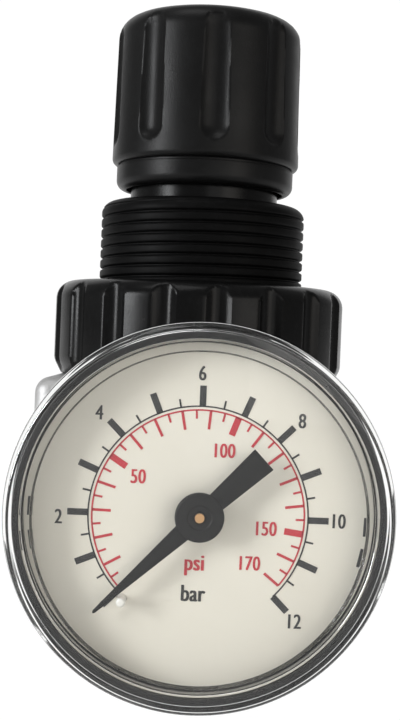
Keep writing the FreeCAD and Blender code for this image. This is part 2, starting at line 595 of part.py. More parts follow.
def make_valve():
    poppet_low = valve_top + " - valve_height - poppet_height"
    disc = new_body("ValveDisc")
    turned(disc, "DiscForm", [
        ("stem_radius + running_gap", valve_top + " - valve_height"),
        ("valve_radius", valve_top + " - valve_height"),
        ("valve_radius", valve_top), ("stem_radius + running_gap", valve_top)])
    finish(disc, "valve_disc")
    stem = new_body("ValveStem")
    tip = "-clamp_low - relief_flange_height - 2 * seat_gap"
    turned(stem, "StemForm", [
        ("0", "-stem_low"), ("stem_radius * 2", "-stem_low"), ("stem_radius * 2", poppet_low),
        ("poppet_radius", poppet_low), ("poppet_radius", valve_top + " - valve_height"),
        ("stem_radius", valve_top + " - valve_height"), ("stem_radius", tip + " - stem_bevel"),
        ("stem_radius - stem_bevel", tip), ("0", tip)])
    finish(stem, "valve_stem")


def make_plug():
    flange_top = "-body_low - seat_gap"
    body = new_body("BottomPlug")
    barrel = "(plug_bore - thread_gap)"
    top = "(-body_low + plug_bore_height - fine_bevel)"
    guide = "(stem_radius * 2 + 2 * running_gap)"
    hollow = "(valve_bore - plug_skin)"
    base = flange_top + " - plug_flange_height"
    waist = barrel + " - ring_seat"
    waist_low = top + " - 2 * ring_cord - plug_lip"
    rib_top = flange_top + " + plug_wall + guide_rise"
    turned(body, "PlugForm", [
        ("0", base), ("plug_flange_radius - edge_break", base),
        ("plug_flange_radius", base + " + edge_break"),
        ("plug_flange_radius", flange_top), (barrel, flange_top), (barrel, waist_low), (waist, waist_low),
        (waist, top + " - plug_lip"), (barrel, top + " - plug_lip"), (barrel, top), (hollow, top),
        (hollow, flange_top + " + plug_wall"), (guide + " + guide_wall", flange_top + " + plug_wall"),
        (guide + " + guide_wall", rib_top), (guide, rib_top), (guide, flange_top + " + plug_floor"),
        ("0", flange_top + " + plug_floor")])
    hexagon_sketch = new_sketch(body, "HexProfile", "XY_Plane", lift=base)
    polygon(hexagon_sketch, hexagon("plug_hex_flats"))
    raised(body, "Hex", hexagon_sketch, "plug_hex_height", down=True)
    finish(body, "bottom_plug")
    ring = document.addObject("Part::Torus", "PlugRing")
    bind(ring, Radius1=barrel + " - ring_seat / 2", Radius2="ring_round")
    finish(ring, "plug_ring", base=("0", "0", top + " - plug_lip - ring_cord"))
    coil("valve_spring", "valve_spring_radius", "valve_spring_wire",
         "(%s + plug_wall + seat_gap)" % flange_top,
         "(%s - valve_height - poppet_height - seat_gap)" % valve_top, "valve_spring_turns")


def make_stopper():
    # threaded plug in the unused gauge port at the rear
    body = new_body("Stopper")
    tip = "-gauge_port_length + stopper_relief"
    crown = "ring_cord + stopper_flange_height"
    turned(body, "StopperForm", [
        ("0", tip), ("stem_thread - thread_lead", tip), ("stem_thread", tip + " + thread_lead"),
        ("stem_thread", "ring_cord"), ("stopper_flange_radius", "ring_cord"),
        ("stopper_flange_radius", crown + " - edge_break"), ("stopper_flange_radius - edge_break", crown),
        ("0", crown)])
    socket = new_sketch(body, "SocketProfile", "XY_Plane", lift=crown)
    polygon(socket, hexagon("stopper_flats"))
    raised(body, "Socket", socket, "stopper_socket", cut=True, down=True)
    finish(body, "rear_plug", turn=(Vector(1, 0, 0), "-90"), base=("0", "body_depth / 2", "-port_low"))
    ring = washer_shape("StopperRing", "stopper_flange_radius - edge_break", "stem_thread + thread_gap",
                        "seat_gap", "ring_cord - seat_gap")
    finish(ring, "rear_plug_ring", turn=(Vector(1, 0, 0), "-90"), base=("0", "body_depth / 2", "-port_low"))


rim_front = "(window_front - pane_recess - free_gap)"
block_back = "(case_back + case_floor)"
plate_back = "(%s + seat_gap + block_depth)" % block_back
plate_inside = "(%s + movement_plate)" % plate_back
front_plate_back = "(%s + movement_gap)" % plate_inside
gear_back = "(%s + gear_lift)" % plate_inside
link_back = "(%s + gear_height + fine_gap)" % gear_back
dial_back = "(dial_front - dial_height)"
blade_back = "(dial_front + pointer_lift)"
pivot_reach = "(gear_module * (pinion_teeth + sector_teeth) / 2)"
pivot_x = "(%s * cos(sector_deg * 1 deg))" % pivot_reach
pivot_y = "(%s * sin(sector_deg * 1 deg))" % pivot_reach
tail_x = "(%s + sector_tail * cos(sector_tail_deg * 1 deg))" % pivot_x
tail_y = "(%s + sector_tail * sin(sector_tail_deg * 1 deg))" % pivot_y
tip_turn = "((tube_root_deg - tube_sweep_deg - tip_sweep_deg / 2) * 1 deg)"
tip_x = "(tube_radius * cos(%s))" % tip_turn
tip_y = "(tube_radius * sin(%s))" % tip_turn


def make_case():
    body = new_body("Case")
    hole = "stem_collar + seat_gap"
    rim_bore = "(case_rim_radius - case_rim_gap)"
    step = "window_front - window_skirt_depth - free_gap"
    form = turned(body, "CaseForm", [
        (hole, "case_back"), ("case_radius", "case_back"), ("case_radius", step), ("case_rim_radius", step),
        ("case_rim_radius", rim_front), (rim_bore, rim_front), (rim_bore, dial_back),
        (rim_bore + " - ledge_width", dial_back), (rim_bore + " - ledge_width", block_back),
        (hole, block_back)])
    rounded(body, "BackRound", form, "case_back_round", ("case_radius", "case_back"))
    holes = new_sketch(body, "ScrewHoleProfile", "XY_Plane", lift="case_back - cut_over")
    for side in ("-1", "1"):
        circle(holes, "case_screw_radius + thread_gap", "0", "case_screw_reach * " + side)
    raised(body, "ScrewHoles", holes, "case_floor + 2 * cut_over", cut=True)
    forward(body, "gauge_case")


def make_window():
    # clear cap: a skirt outside the case rim, a short spigot inside it and a pane set a little back
    body = new_body("Window")
    skirt_bore = "(case_rim_radius + seat_gap)"
    spigot_radius = "(case_rim_radius - case_rim_gap - seat_gap)"
    pane_front = "(window_front - pane_recess)"
    pane_back = "(%s - pane_height)" % pane_front
    roof = "(%s + seat_gap)" % rim_front
    turned(body, "WindowForm", [
        ("0", pane_back), (spigot_radius + " - spigot_wall", pane_back),
        (spigot_radius + " - spigot_wall", pane_back + " - spigot_depth + pane_height"),
        (spigot_radius, pane_back + " - spigot_depth + pane_height"), (spigot_radius, roof),
        (skirt_bore, roof),
        (skirt_bore, "window_front - window_skirt_depth"),
        ("window_radius", "window_front - window_skirt_depth"),
        ("window_radius", "window_front - window_bevel"), ("window_radius - window_bevel", "window_front"),
        ("pane_radius + window_bevel", "window_front"), ("pane_radius", pane_front), ("0", pane_front)])
    forward(body, "gauge_window")


def make_dial():
    body = new_body("Dial")
    turned(body, "DialForm", [
        ("dial_hole", dial_back + " + seat_gap"), ("dial_radius", dial_back + " + seat_gap"),
        ("dial_radius", "dial_front"), ("dial_hole", "dial_front")])
    hole = new_sketch(body, "StopHoleProfile", "XY_Plane", lift="dial_front + cut_over")
    stop_turn = "((pointer_rest_deg + stop_ahead_deg) * 1 deg)"
    circle(hole, "stop_pin + thread_gap", "stop_radius * cos(%s)" % stop_turn,
           "stop_radius * sin(%s)" % stop_turn)
    raised(body, "StopHole", hole, "dial_height + 2 * cut_over", cut=True, down=True)
    forward(body, "dial")
    pin = new_body("StopPin")
    turned(pin, "PinForm", [
        ("0", dial_back + " + seat_gap"), ("stop_pin", dial_back + " + seat_gap"),
        ("stop_pin", "dial_front + stop_height - fine_bevel"),
        ("stop_pin - fine_bevel", "dial_front + stop_height"),
        ("0", "dial_front + stop_height")])
    forward(pin, "stop_pin", across="stop_radius * cos(%s)" % stop_turn,
            up="stop_radius * sin(%s)" % stop_turn)


def make_pointer():
    body = new_body("Pointer")
    turned(body, "Hub", [
        ("arbor_radius + seat_gap / 2", blade_back + " - hub_drop"),
        ("hub_foot", blade_back + " - hub_drop"),
        ("pointer_hub", blade_back), ("pointer_hub", blade_back + " + pointer_hub_height - fine_bevel"),
        ("pointer_hub - fine_bevel", blade_back + " + pointer_hub_height"),
        ("arbor_radius + seat_gap / 2", blade_back + " + pointer_hub_height")])
    blade = new_sketch(body, "BladeProfile", "XY_Plane", lift=blade_back)
    shoulder = "pointer_length - fine_bevel"
    polygon(blade, [("blade_root", "-pointer_width / 2"), (shoulder, "-pointer_tip_width / 2"),
                    ("pointer_length", "0"),
                    (shoulder, "pointer_tip_width / 2"), ("blade_root", "pointer_width / 2")])
    raised(body, "Blade", blade, "pointer_height")
    tail = new_sketch(body, "TailProfile", "XY_Plane", lift=blade_back)
    polygon(tail, [("-blade_root", "-pointer_width / 2"), ("-blade_root", "pointer_width / 2"),
                   ("-pointer_tail", "pointer_tail_width / 2"),
                   ("-pointer_tail", "-pointer_tail_width / 2")])
    raised(body, "Tail", tail, "pointer_height")
    forward(body, "pointer", spin="pointer_rest_deg")


def make_stem():
    body = new_body("Stem")
    step = "(stem_hex_back - stem_step)"
    turned(body, "StemForm", [
        ("0", "-stem_thread_length"), ("stem_thread - stem_lead", "-stem_thread_length"),
        ("stem_thread", "-stem_thread_length + stem_lead"), ("stem_thread", step), ("stem_collar", step),
        ("stem_collar", block_back + " + cut_over"), ("0", block_back + " + cut_over")])
    hex_sketch = new_sketch(body, "HexProfile", "XY_Plane", lift="stem_hex_back")
    polygon(hex_sketch, hexagon("stem_hex_flats"))
    raised(body, "Hex", hex_sketch, "case_back - seat_gap - stem_hex_back")
    block = new_sketch(body, "BlockProfile", "XY_Plane", lift=block_back + " + seat_gap")
    half = "(block_width / 2)"
    drop = "(block_drop_width / 2)"
    crown = "case_screw_reach + crown_margin"
    shoulder = "-block_height / 2 - block_shoulder"
    polygon(block, [("-" + drop, crown), ("-" + half, "block_height / 2"),
                    ("-" + half, "-block_height / 2"),
                    ("-" + drop, shoulder), ("-" + drop, "-block_drop"), (drop, "-block_drop"),
                    (drop, shoulder),
                    (half, "-block_height / 2"), (half, "block_height / 2"), (drop, crown)])
    raised(body, "StemBlock", block, "block_depth")
    tapped = new_sketch(body, "TappedHoleProfile", "XY_Plane", lift=block_back)
    for side in ("-1", "1"):
        circle(tapped, "case_screw_radius + thread_gap", "0", "case_screw_reach * " + side)
    raised(body, "TappedHoles", tapped, "case_screw_grip + free_gap", cut=True)
    # the slot that the Bourdon tube's root is brazed into, and the pressure bore
    slot = new_sketch(body, "TubeSlotProfile", "XZ_Plane", turn="tube_root_deg - tube_grip_deg / 2")
    rectangle(slot, "tube_radius - tube_thick / 2 - seat_gap", "tube_radius + tube_thick / 2 + seat_gap",
              "tube_middle - tube_deep / 2 - seat_gap", "tube_middle + tube_deep / 2 + seat_gap")
    groove = body.newObject("PartDesign::Groove", "TubeSlot")
    groove.Profile = slot
    groove.ReferenceAxis = (slot, ["V_Axis"])
    groove.Midplane = True
    groove.setExpression("Angle", named("tube_grip_deg + slot_margin_deg"))
    document.recompute()
    turned(body, "PressureBore", [
        ("0", "-stem_thread_length - cut_over"), ("passage_radius", "-stem_thread_length - cut_over"),
        ("passage_radius", block_back + " + block_depth / 2"), ("0", block_back + " + block_depth / 2")],
        cut=True)
    forward(body, "gauge_stem")
    screws = new_body("CaseScrews")
    # pan-head screws from outside the case back into the block; one node of two
    sketch = new_sketch(screws, "ShankProfile", "XY_Plane", lift="case_back - seat_gap")
    heads = new_sketch(screws, "HeadProfile", "XY_Plane", lift="case_back - seat_gap")
    for side in ("-1", "1"):
        circle(sketch, "case_screw_radius", "0", "case_screw_reach * " + side)
        circle(heads, "case_screw_head", "0", "case_screw_reach * " + side)
    raised(screws, "Shanks", sketch, "case_floor + case_screw_grip")
    raised(screws, "Heads", heads, "case_screw_head_height", down=True)
    forward(screws, "case_screws")


def make_tube():
    # a flattened thin-walled tube bent to an arc, closed by its tip; root at the foot of the stem block
    for name, label, start, sweep, margin in (
            ("Tube", "bourdon_tube", "tube_root_deg - tube_sweep_deg", "tube_sweep_deg", "0"),
            ("TubeTip", "tube_tip", "tube_root_deg - tube_sweep_deg - tip_sweep_deg", "tip_sweep_deg",
             "tip_margin")):
        body = new_body(name)
        section = new_sketch(body, name + "Section", "XZ_Plane")
        thick = "(tube_thick / 2 + %s)" % margin
        deep = "(tube_deep / 2 + %s)" % margin
        flattened(section, thick, deep)
        if name == "Tube":
            flattened(section, thick + " - tube_wall", deep + " - tube_wall")
        sweep_form = body.newObject("PartDesign::Revolution", name + "Sweep")
        sweep_form.Profile = section
        sweep_form.ReferenceAxis = (section, ["V_Axis"])
        sweep_form.setExpression("Angle", named(sweep + " - tube_seam_deg"))
        document.recompute()
        if name == "TubeTip":
            pin = new_sketch(body, "TipPinProfile", "XY_Plane", lift="tube_middle")
            middle = "(tip_sweep_deg / 2 * 1 deg)"
            circle(pin, "tip_pin", "tube_radius * cos(%s)" % middle, "tube_radius * sin(%s)" % middle)
            raised(body, "TipPin", pin, link_back + " + link_height + free_gap - tube_middle")
        forward(body, label, spin=start)


def flattened(sketch, thick, deep):
    # a long section with its corners taken off, centred on the tube's middle
    corner = "(%s) * tube_corner_share" % thick
    left, right = "tube_radius - (%s)" % thick, "tube_radius + (%s)" % thick
    low, high = "tube_middle - (%s)" % deep, "tube_middle + (%s)" % deep
    polygon(sketch, [(left + " + " + corner, low), (right + " - " + corner, low),
                     (right, low + " + " + corner),
                     (right, high + " - " + corner), (right + " - " + corner, high),
                     (left + " + " + corner, high),
                     (left, high + " - " + corner), (left, low + " + " + corner)])


def make_plates():
    pillars = (("-pillar_front", "0"), (pivot_reach + " + pillar_rear * cos(pillar_deg * 1 deg)",
                                        "pillar_rear * sin(pillar_deg * 1 deg)"))
    screws = (("plate_screw_along", "plate_screw_across"), ("plate_screw_along", "-plate_screw_across"))
    for name, label, low in (("BackPlate", "movement_back_plate", plate_back),
                             ("FrontPlate", "movement_front_plate", front_plate_back)):
        body = new_body(name)
        outline = new_sketch(body, name + "Outline", "XY_Plane", lift=low)
        start, stop = "-pillar_front", pivot_reach + " + pillar_rear"
        polygon(outline, [
            (start + " - plate_half", "-plate_corner"), (start + " - plate_corner", "-plate_half"),
            (stop, "-plate_half"), (stop + " + plate_corner", "-plate_corner"),
            (stop + " + plate_corner", "plate_corner"),
            (stop, "plate_half"), (start + " - plate_corner", "plate_half"),
            (start + " - plate_half", "plate_corner")])
        circle(outline, "arbor_radius + running_gap")
        circle(outline, "sector_arbor_radius + running_gap", pivot_reach, "0")
        raised(body, name + "Form", outline, "movement_plate")
        if name == "BackPlate":
            holes = new_sketch(body, "PlateHoles", "XY_Plane", lift=low + " - cut_over")
            for across, up in screws:
                circle(holes, "plate_screw + thread_gap", across, up)
            raised(body, "PlateHolesCut", holes, "movement_plate + 2 * cut_over", cut=True)
        else:
            holes = new_sketch(body, "PillarHoles", "XY_Plane", lift=low + " - cut_over")
            for across, up in pillars:
                circle(holes, "plate_screw + thread_gap", across, up)
            raised(body, "PillarHolesCut", holes, "movement_plate + 2 * cut_over", cut=True)
        forward(body, label, spin="sector_deg")
    # the pillars stand between the plates, and one kind of screw holds plate and pillars
    posts = new_body("Pillars")
    foot = new_sketch(posts, "PillarProfile", "XY_Plane", lift=plate_inside + " + seat_gap")
    for across, up in pillars:
        circle(foot, "pillar_radius", across, up)
    raised(posts, "PillarForm", foot, "movement_gap - 2 * seat_gap")
    forward(posts, "movement_pillars", spin="sector_deg")
    for name, label, places, under in (("PillarScrews", "pillar_screws", pillars, front_plate_back),
                                       ("PlateScrews", "plate_screws", screws, plate_back)):
        body = new_body(name)
        shank = new_sketch(body, name + "Shank", "XY_Plane", lift=under)
        head = new_sketch(body, name + "Head", "XY_Plane", lift="%s + movement_plate + seat_gap" % under)
        for across, up in places:
            circle(shank, "plate_screw", across, up)
            circle(head, "screw_head", across, up)
        raised(body, name + "Shanks", shank, "movement_plate + seat_gap")
        raised(body, name + "Heads", head, "screw_head_height")
        forward(body, label, spin="sector_deg")


def tooth(sketch, teeth, turn):
    # one tooth of the given wheel, its foot sunk in the rim
    pitch_radius = "(gear_module * %s / 2)" % teeth
    half = "(tooth_share * 180 deg / %s)" % teeth
    corners = []
    foot = "- tooth_fall - tooth_sink"
    for rise, side in ((foot, "-1"), ("", "-1"), ("+ tooth_rise", "-tooth_tip"),
                       ("+ tooth_rise", "tooth_tip"), ("", "1"), (foot, "1")):
        angle = "(%s + (%s) * %s)" % (turn, side, half)
        radius = "(%s %s)" % (pitch_radius, rise)
        corners.append(("%s * cos(%s)" % (radius, angle), "%s * sin(%s)" % (radius, angle)))
    polygon(sketch, corners)


def make_gears():
    body = new_body("Pinion")
    front = blade_back + " + pointer_hub_height + fine_gap"
    root = "gear_module * pinion_teeth / 2 - tooth_fall"
    low = gear_back + " - 2 * fine_gap"
    high = gear_back + " + gear_height + 2 * fine_gap"
    turned(body, "ArborForm", [
        ("0", plate_back), ("arbor_radius", plate_back), ("arbor_radius", low), (root, low), (root, high),
        ("arbor_radius", high), ("arbor_radius", front), ("0", front)])
    profile = new_sketch(body, "PinionTooth", "XY_Plane", lift=gear_back + " - fine_gap")
    tooth(profile, "pinion_teeth", "180 deg / pinion_teeth")
    leaf = raised(body, "PinionLeaf", profile, "gear_height + 2 * fine_gap")
    around(body, "PinionLeaves", leaf, "pinion_teeth")
    forward(body, "pinion_arbor", spin="sector_deg")

    sector = new_body("Sector")
    pitch = "(360 deg / sector_teeth)"
    first = "((2 - sector_cut) * %s)" % pitch
    last = pitch
    root = "(gear_module * sector_teeth / 2 - tooth_fall)"
    web = new_sketch(sector, "WebProfile", "XY_Plane", lift=gear_back)
    edge = "(%s - sector_rim / 2)" % root
    fan = ["(%s - %s / 2)" % (first, pitch), "((%s + %s) / 2)" % (first, last), "(%s * 1.5)" % pitch]
    polygon(web, [("0", "-web_half")] + [("%s * cos(%s)" % (edge, turn),
                                          "%s * sin(%s)" % (edge, turn)) for turn in fan]
            + [("0", "web_half")])
    raised(sector, "Web", web, "gear_height")
    rim = new_sketch(sector, "RimProfile", "XZ_Plane", turn="(%s + %s) / 2 / 1 deg" % (first, last))
    rectangle(rim, root + " - sector_rim", root, gear_back, gear_back + " + gear_height")
    arc = sector.newObject("PartDesign::Revolution", "Rim")
    arc.Profile = rim
    arc.ReferenceAxis = (rim, ["V_Axis"])
    arc.Midplane = True
    arc.setExpression("Angle", named("sector_cut * %s / 1 deg" % pitch))
    document.recompute()
    window = new_sketch(sector, "WindowProfile", "XY_Plane", lift=gear_back)
    outer = "(%s - web_window_rim)" % root
    middle = "((%s + %s) / 2)" % (first, last)
    corners = [("web_window_low", "(%s - web_window_deg * 1 deg)" % middle),
               (outer, "(%s + %s)" % (first, pitch)),
               (outer, "(0 deg)"), ("web_window_low", "(%s + web_window_deg * 1 deg)" % middle)]
    polygon(window, [("%s * cos%s" % corner, "%s * sin%s" % corner) for corner in corners])
    raised(sector, "Window", window, "gear_height", cut=True)
    profile = new_sketch(sector, "SectorTooth", "XY_Plane", lift=gear_back)
    tooth(profile, "sector_teeth", first)
    leaf = raised(sector, "SectorLeaf", profile, "gear_height")
    leaves = around(sector, "SectorLeaves", leaf, "sector_cut")
    leaves.setExpression("Angle", named("(sector_cut - 1) * %s / 1 deg" % pitch))
    tail_turn = "((sector_tail_deg - sector_deg - 180) * 1 deg)"
    arm = new_sketch(sector, "ArmProfile", "XY_Plane", lift=gear_back)
    bar(arm, "sector_tail", "sector_tail_half", tail_turn)
    raised(sector, "Arm", arm, "gear_height")
    bosses = new_sketch(sector, "BossProfile", "XY_Plane", lift=gear_back)
    circle(bosses, "sector_hub")
    circle(bosses, "sector_tail_half + fine_bevel", "sector_tail * cos(%s)" % tail_turn,
           "sector_tail * sin(%s)" % tail_turn)
    raised(sector, "Bosses", bosses, "gear_height")
    bore = new_sketch(sector, "BoreProfile", "XY_Plane", lift=gear_back + " - cut_over")
    circle(bore, "sector_arbor_radius + seat_gap / 2")
    raised(sector, "Bore", bore, "gear_height + 2 * cut_over", cut=True)
    pin = new_sketch(sector, "TailPinProfile", "XY_Plane", lift=gear_back)
    circle(pin, "tip_pin", "sector_tail * cos(%s)" % tail_turn, "sector_tail * sin(%s)" % tail_turn)
    raised(sector, "TailPin", pin, "gear_height + fine_gap + link_height + free_gap")
    forward(sector, "sector_gear", spin="sector_deg + 180", across=pivot_x, up=pivot_y)

    arbor = new_body("SectorArbor")
    turned(arbor, "SectorArborForm", [
        ("0", plate_back), ("sector_arbor_radius", plate_back),
        ("sector_arbor_radius", front_plate_back + " + movement_plate"),
        ("0", front_plate_back + " + movement_plate")])
    forward(arbor, "sector_arbor", across=pivot_x, up=pivot_y)


def make_link():
    body = new_body("Link")
    length = "sqrt((%s - %s)^2 + (%s - %s)^2)" % (tip_x, tail_x, tip_y, tail_y)
    turn = "atan2(%s - %s; %s - %s)" % (tip_y, tail_y, tip_x, tail_x)
    strip = new_sketch(body, "StripProfile", "XY_Plane", lift=link_back)
    bar(strip, length, "link_half")
    raised(body, "Strip", strip, "link_height")
    eyes = new_sketch(body, "EyeProfile", "XY_Plane", lift=link_back)
    circle(eyes, "link_eye")
    circle(eyes, "link_eye", length, "0")
    raised(body, "Eyes", eyes, "link_height")
    holes = new_sketch(body, "EyeHoleProfile", "XY_Plane", lift=link_back + " - cut_over")
    circle(holes, "tip_pin + link_play")
    circle(holes, "tip_pin + seat_gap", length, "0")
    raised(body, "EyeHoles", holes, "link_height + 2 * cut_over", cut=True)
    forward(body, "link", spin=turn + " / 1 deg", across=tail_x, up=tail_y)


def make_hairspring():
    low = "(%s + spring_level)" % plate_inside
    collet_low = low + " - 2 * fine_gap"
    collet = washer_shape("Collet", "collet_radius", "arbor_radius + seat_gap / 2", collet_low,
                          collet_low + " + collet_height")
    forward(collet, "hairspring_collet")
    body = new_body("Hairspring")
    start = "(collet_radius + seat_gap)"
    section = new_sketch(body, "RibbonSection", "XZ_Plane")
    rectangle(section, start, start + " + hairspring_thick", low, low + " + hairspring_height")
    spiral = body.newObject("PartDesign::AdditiveHelix", "Spiral")
    spiral.Profile = section
    spiral.ReferenceAxis = (section, ["V_Axis"])
    spiral.Mode = "height-turns-growth"
    spiral.Height = 0
    spiral.setExpression("Turns", named("hairspring_turns"))
    spiral.setExpression("Growth", named("hairspring_pitch"))
    document.recompute()
    forward(body, "hairspring")
    # the stud holds the ribbon's outer end under the front plate
    stud = document.addObject("Part::Cylinder", "Stud")
    bind(stud, Radius="stud_radius", Height="%s - (%s) - seat_gap" % (front_plate_back, low))
    outer_end = "%s + hairspring_turns * hairspring_pitch + hairspring_thick" % start
    forward(stud, "hairspring_stud", across=outer_end + " + seat_gap + stud_radius")
    stud.setExpression("Placement.Base.y", named("-body_depth / 2 - (%s)" % low))


for make in (make_bonnet, make_knob, make_screw, make_nut):
    make()
coil("regulating_spring", "spring_radius", "spring_wire", "(%s + seat_gap)" % plate_top,
     "(%s - nut_flange_height - seat_gap)" % nut_top, "spring_turns")
for make in (make_diaphragm, make_body, make_valve, make_plug, make_stopper, make_case, make_window,
             make_dial, make_pointer, make_stem, make_tube, make_plates, make_gears, make_link,
             make_hairspring):
    make()

document.recompute()
faults = []
for thing in document.Objects:
    if "Invalid" in thing.State or "Error" in thing.State:
        faults.append(thing.Name)
for piece in pieces:
    if piece.Shape.isNull() or not piece.Shape.isValid():
        faults.append(piece.Label)
if faults:
    raise SystemExit("not built: " + ", ".join(faults))

os.makedirs("parts", exist_ok=True)
for piece in pieces:
    piece.Shape.exportStep("parts/%s.step" % piece.Label)
print(len(pieces), "pieces written")
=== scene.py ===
import bpy
import math
from mathutils import Matrix, Vector


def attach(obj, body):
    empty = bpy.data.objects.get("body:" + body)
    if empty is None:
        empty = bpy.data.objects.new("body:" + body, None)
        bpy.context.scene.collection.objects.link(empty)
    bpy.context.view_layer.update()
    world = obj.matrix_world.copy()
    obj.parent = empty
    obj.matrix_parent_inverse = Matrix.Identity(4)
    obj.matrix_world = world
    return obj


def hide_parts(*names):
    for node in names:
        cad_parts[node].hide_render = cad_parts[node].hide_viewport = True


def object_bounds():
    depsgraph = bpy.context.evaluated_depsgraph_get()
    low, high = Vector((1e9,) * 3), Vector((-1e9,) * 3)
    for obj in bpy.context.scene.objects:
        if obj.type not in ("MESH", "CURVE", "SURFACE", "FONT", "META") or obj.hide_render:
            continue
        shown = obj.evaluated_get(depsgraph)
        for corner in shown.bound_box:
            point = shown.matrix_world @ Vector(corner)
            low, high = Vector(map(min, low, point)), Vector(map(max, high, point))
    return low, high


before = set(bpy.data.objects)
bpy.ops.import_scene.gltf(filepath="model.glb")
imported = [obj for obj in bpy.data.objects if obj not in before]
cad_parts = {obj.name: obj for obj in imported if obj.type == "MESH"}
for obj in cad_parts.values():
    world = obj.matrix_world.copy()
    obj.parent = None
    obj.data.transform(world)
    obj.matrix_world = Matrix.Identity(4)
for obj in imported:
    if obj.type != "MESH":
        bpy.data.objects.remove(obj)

cadLow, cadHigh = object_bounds()

# Everything is drawn in millimetres and brought to metres when it is settled in place.
# Pieces on the knob's axis are drawn where they stand. Gauge pieces are drawn facing up,
# with the body's front face at height 0, and then tipped forward.
mm = 0.001
gaugeAxis = Vector((0, -20, -27.2))
nearby = 0.0005        # points closer than this are the same point
cutOver = 1            # how far a cutter runs past what it cuts
leastFacing = 0.2      # a surface that faces outward by less than this isn't pressed in


# working helpers
def clearSelection():
    if bpy.context.object and bpy.context.object.mode != "OBJECT":
        bpy.ops.object.mode_set(mode="OBJECT")
    bpy.ops.object.select_all(action="DESELECT")


def pick(thing):
    clearSelection()
    thing.select_set(True)
    bpy.context.view_layer.objects.active = thing


def editAll(thing):
    pick(thing)
    bpy.ops.object.mode_set(mode="EDIT")
    bpy.ops.mesh.select_mode(type="VERT")
    bpy.ops.mesh.select_all(action="SELECT")


def selectWhere(thing, test, kind="VERT"):
    # leaves the piece in edit mode with only what passes the test selected
    editAll(thing)
    bpy.ops.mesh.select_all(action="DESELECT")
    bpy.ops.mesh.select_mode(type=kind)
    bpy.ops.object.mode_set(mode="OBJECT")
    mesh = thing.data
    if kind == "VERT":
        for point in mesh.vertices:
            point.select = test(point.co)
    elif kind == "FACE":
        for face in mesh.polygons:
            face.select = test(face.center, face.normal)
    else:
        for edge in mesh.edges:
            first, second = (mesh.vertices[index].co for index in edge.vertices)
            edge.select = test(first, second)
    bpy.ops.object.mode_set(mode="EDIT")


def useModifier(thing, kind, **settings):
    pick(thing)
    modifier = thing.modifiers.new(kind.title(), kind)
    for name, value in settings.items():
        setattr(modifier, name, value)
    bpy.ops.object.modifier_apply(modifier=modifier.name)


def cutWith(thing, cutter, operation="DIFFERENCE"):
    useModifier(thing, "BOOLEAN", object=cutter, operation=operation, solver="EXACT")
    pick(cutter)
    bpy.ops.object.delete()
    return thing


def joinAll(things):
    pick(things[0])
    for thing in things:
        thing.select_set(True)
    bpy.ops.object.join()
    return things[0]


def cleanMesh(thing):
    editAll(thing)
    bpy.ops.mesh.remove_doubles(threshold=nearby)
    bpy.ops.mesh.normals_make_consistent(inside=False)
    bpy.ops.object.mode_set(mode="OBJECT")


def moveTo(thing, place):
    pick(thing)
    thing.matrix_world = place
    bpy.ops.object.transform_apply(location=True, rotation=True, scale=True)


def drawOutline(corners, closed, arcSteps):
    # a wire of (radius, height, rounding) corners in the XZ plane, extruded point by point
    points = [Vector((corner[0], 0, corner[1])) for corner in corners]
    clearSelection()
    bpy.ops.mesh.primitive_plane_add(size=0.01, location=points[0])
    wire = bpy.context.object
    bpy.ops.object.transform_apply(location=True)
    editAll(wire)
    bpy.ops.mesh.merge(type="CENTER")
    for here, there in zip(points, points[1:]):
        bpy.ops.mesh.extrude_region_move(TRANSFORM_OT_translate={"value": there - here})
    if closed:
        ends = (points[0], points[-1])
        selectWhere(wire, lambda place: any((place - end).length < nearby for end in ends))
        bpy.ops.mesh.edge_face_add()
    for point, corner in zip(points, corners):
        if len(corner) > 2:
            selectWhere(wire, lambda place: (place - point).length < nearby)
            bpy.ops.mesh.bevel(offset=corner[2], segments=arcSteps, affect="VERTICES", clamp_overlap=False)
    bpy.ops.object.mode_set(mode="OBJECT")
    return wire


def turn(wire, steps, pitch=0.0, rounds=1):
    useModifier(wire, "SCREW", axis="Z", steps=steps, render_steps=steps, screw_offset=pitch,
                iterations=rounds, use_merge_vertices=True, merge_threshold=nearby)
    cleanMesh(wire)
    return wire


def turned(corners, steps, arcSteps=6):
    onAxis = corners[0][0] == 0 and corners[-1][0] == 0
    return turn(drawOutline(corners, closed=not onAxis, arcSteps=arcSteps), steps)


def pressIn(thing, most, depthAt):
    # sinks the surface along its normal by a depth worked out for each point
    group = thing.vertex_groups.new(name="press")
    for point in thing.data.vertices:
        depth = depthAt(point.co, point.normal)
        if depth > 0:
            group.add([point.index], min(depth / most, 1.0), "REPLACE")
    useModifier(thing, "DISPLACE", strength=-most, mid_level=0.0, vertex_group="press", direction="NORMAL")
    thing.vertex_groups.clear()


def scallop(across, cutter, deepest, lip=0.16):
    # how deep a round cutter sinks at a distance across from the groove's middle, with a soft lip
    if abs(across) >= cutter:
        return 0.0
    depth = math.sqrt(cutter * cutter - across * across) - (cutter - deepest)
    if depth <= -lip:
        return 0.0
    return depth if depth >= lip else (depth + lip) ** 2 / (4 * lip)


def offPitch(place, count, start):
    # signed angle in radians to the nearest of a ring of evenly spaced features
    angle = math.atan2(place.y, place.x) - math.radians(start)
    pitch = 2 * math.pi / count
    return (angle + pitch / 2) % pitch - pitch / 2


def prism(sides, radius, low, high, place=(0, 0)):
    clearSelection()
    bpy.ops.mesh.primitive_cylinder_add(vertices=sides, radius=radius, depth=high - low,
                                        location=(place[0], place[1], (low + high) / 2))
    made = bpy.context.object
    bpy.ops.object.transform_apply(location=True)
    return made


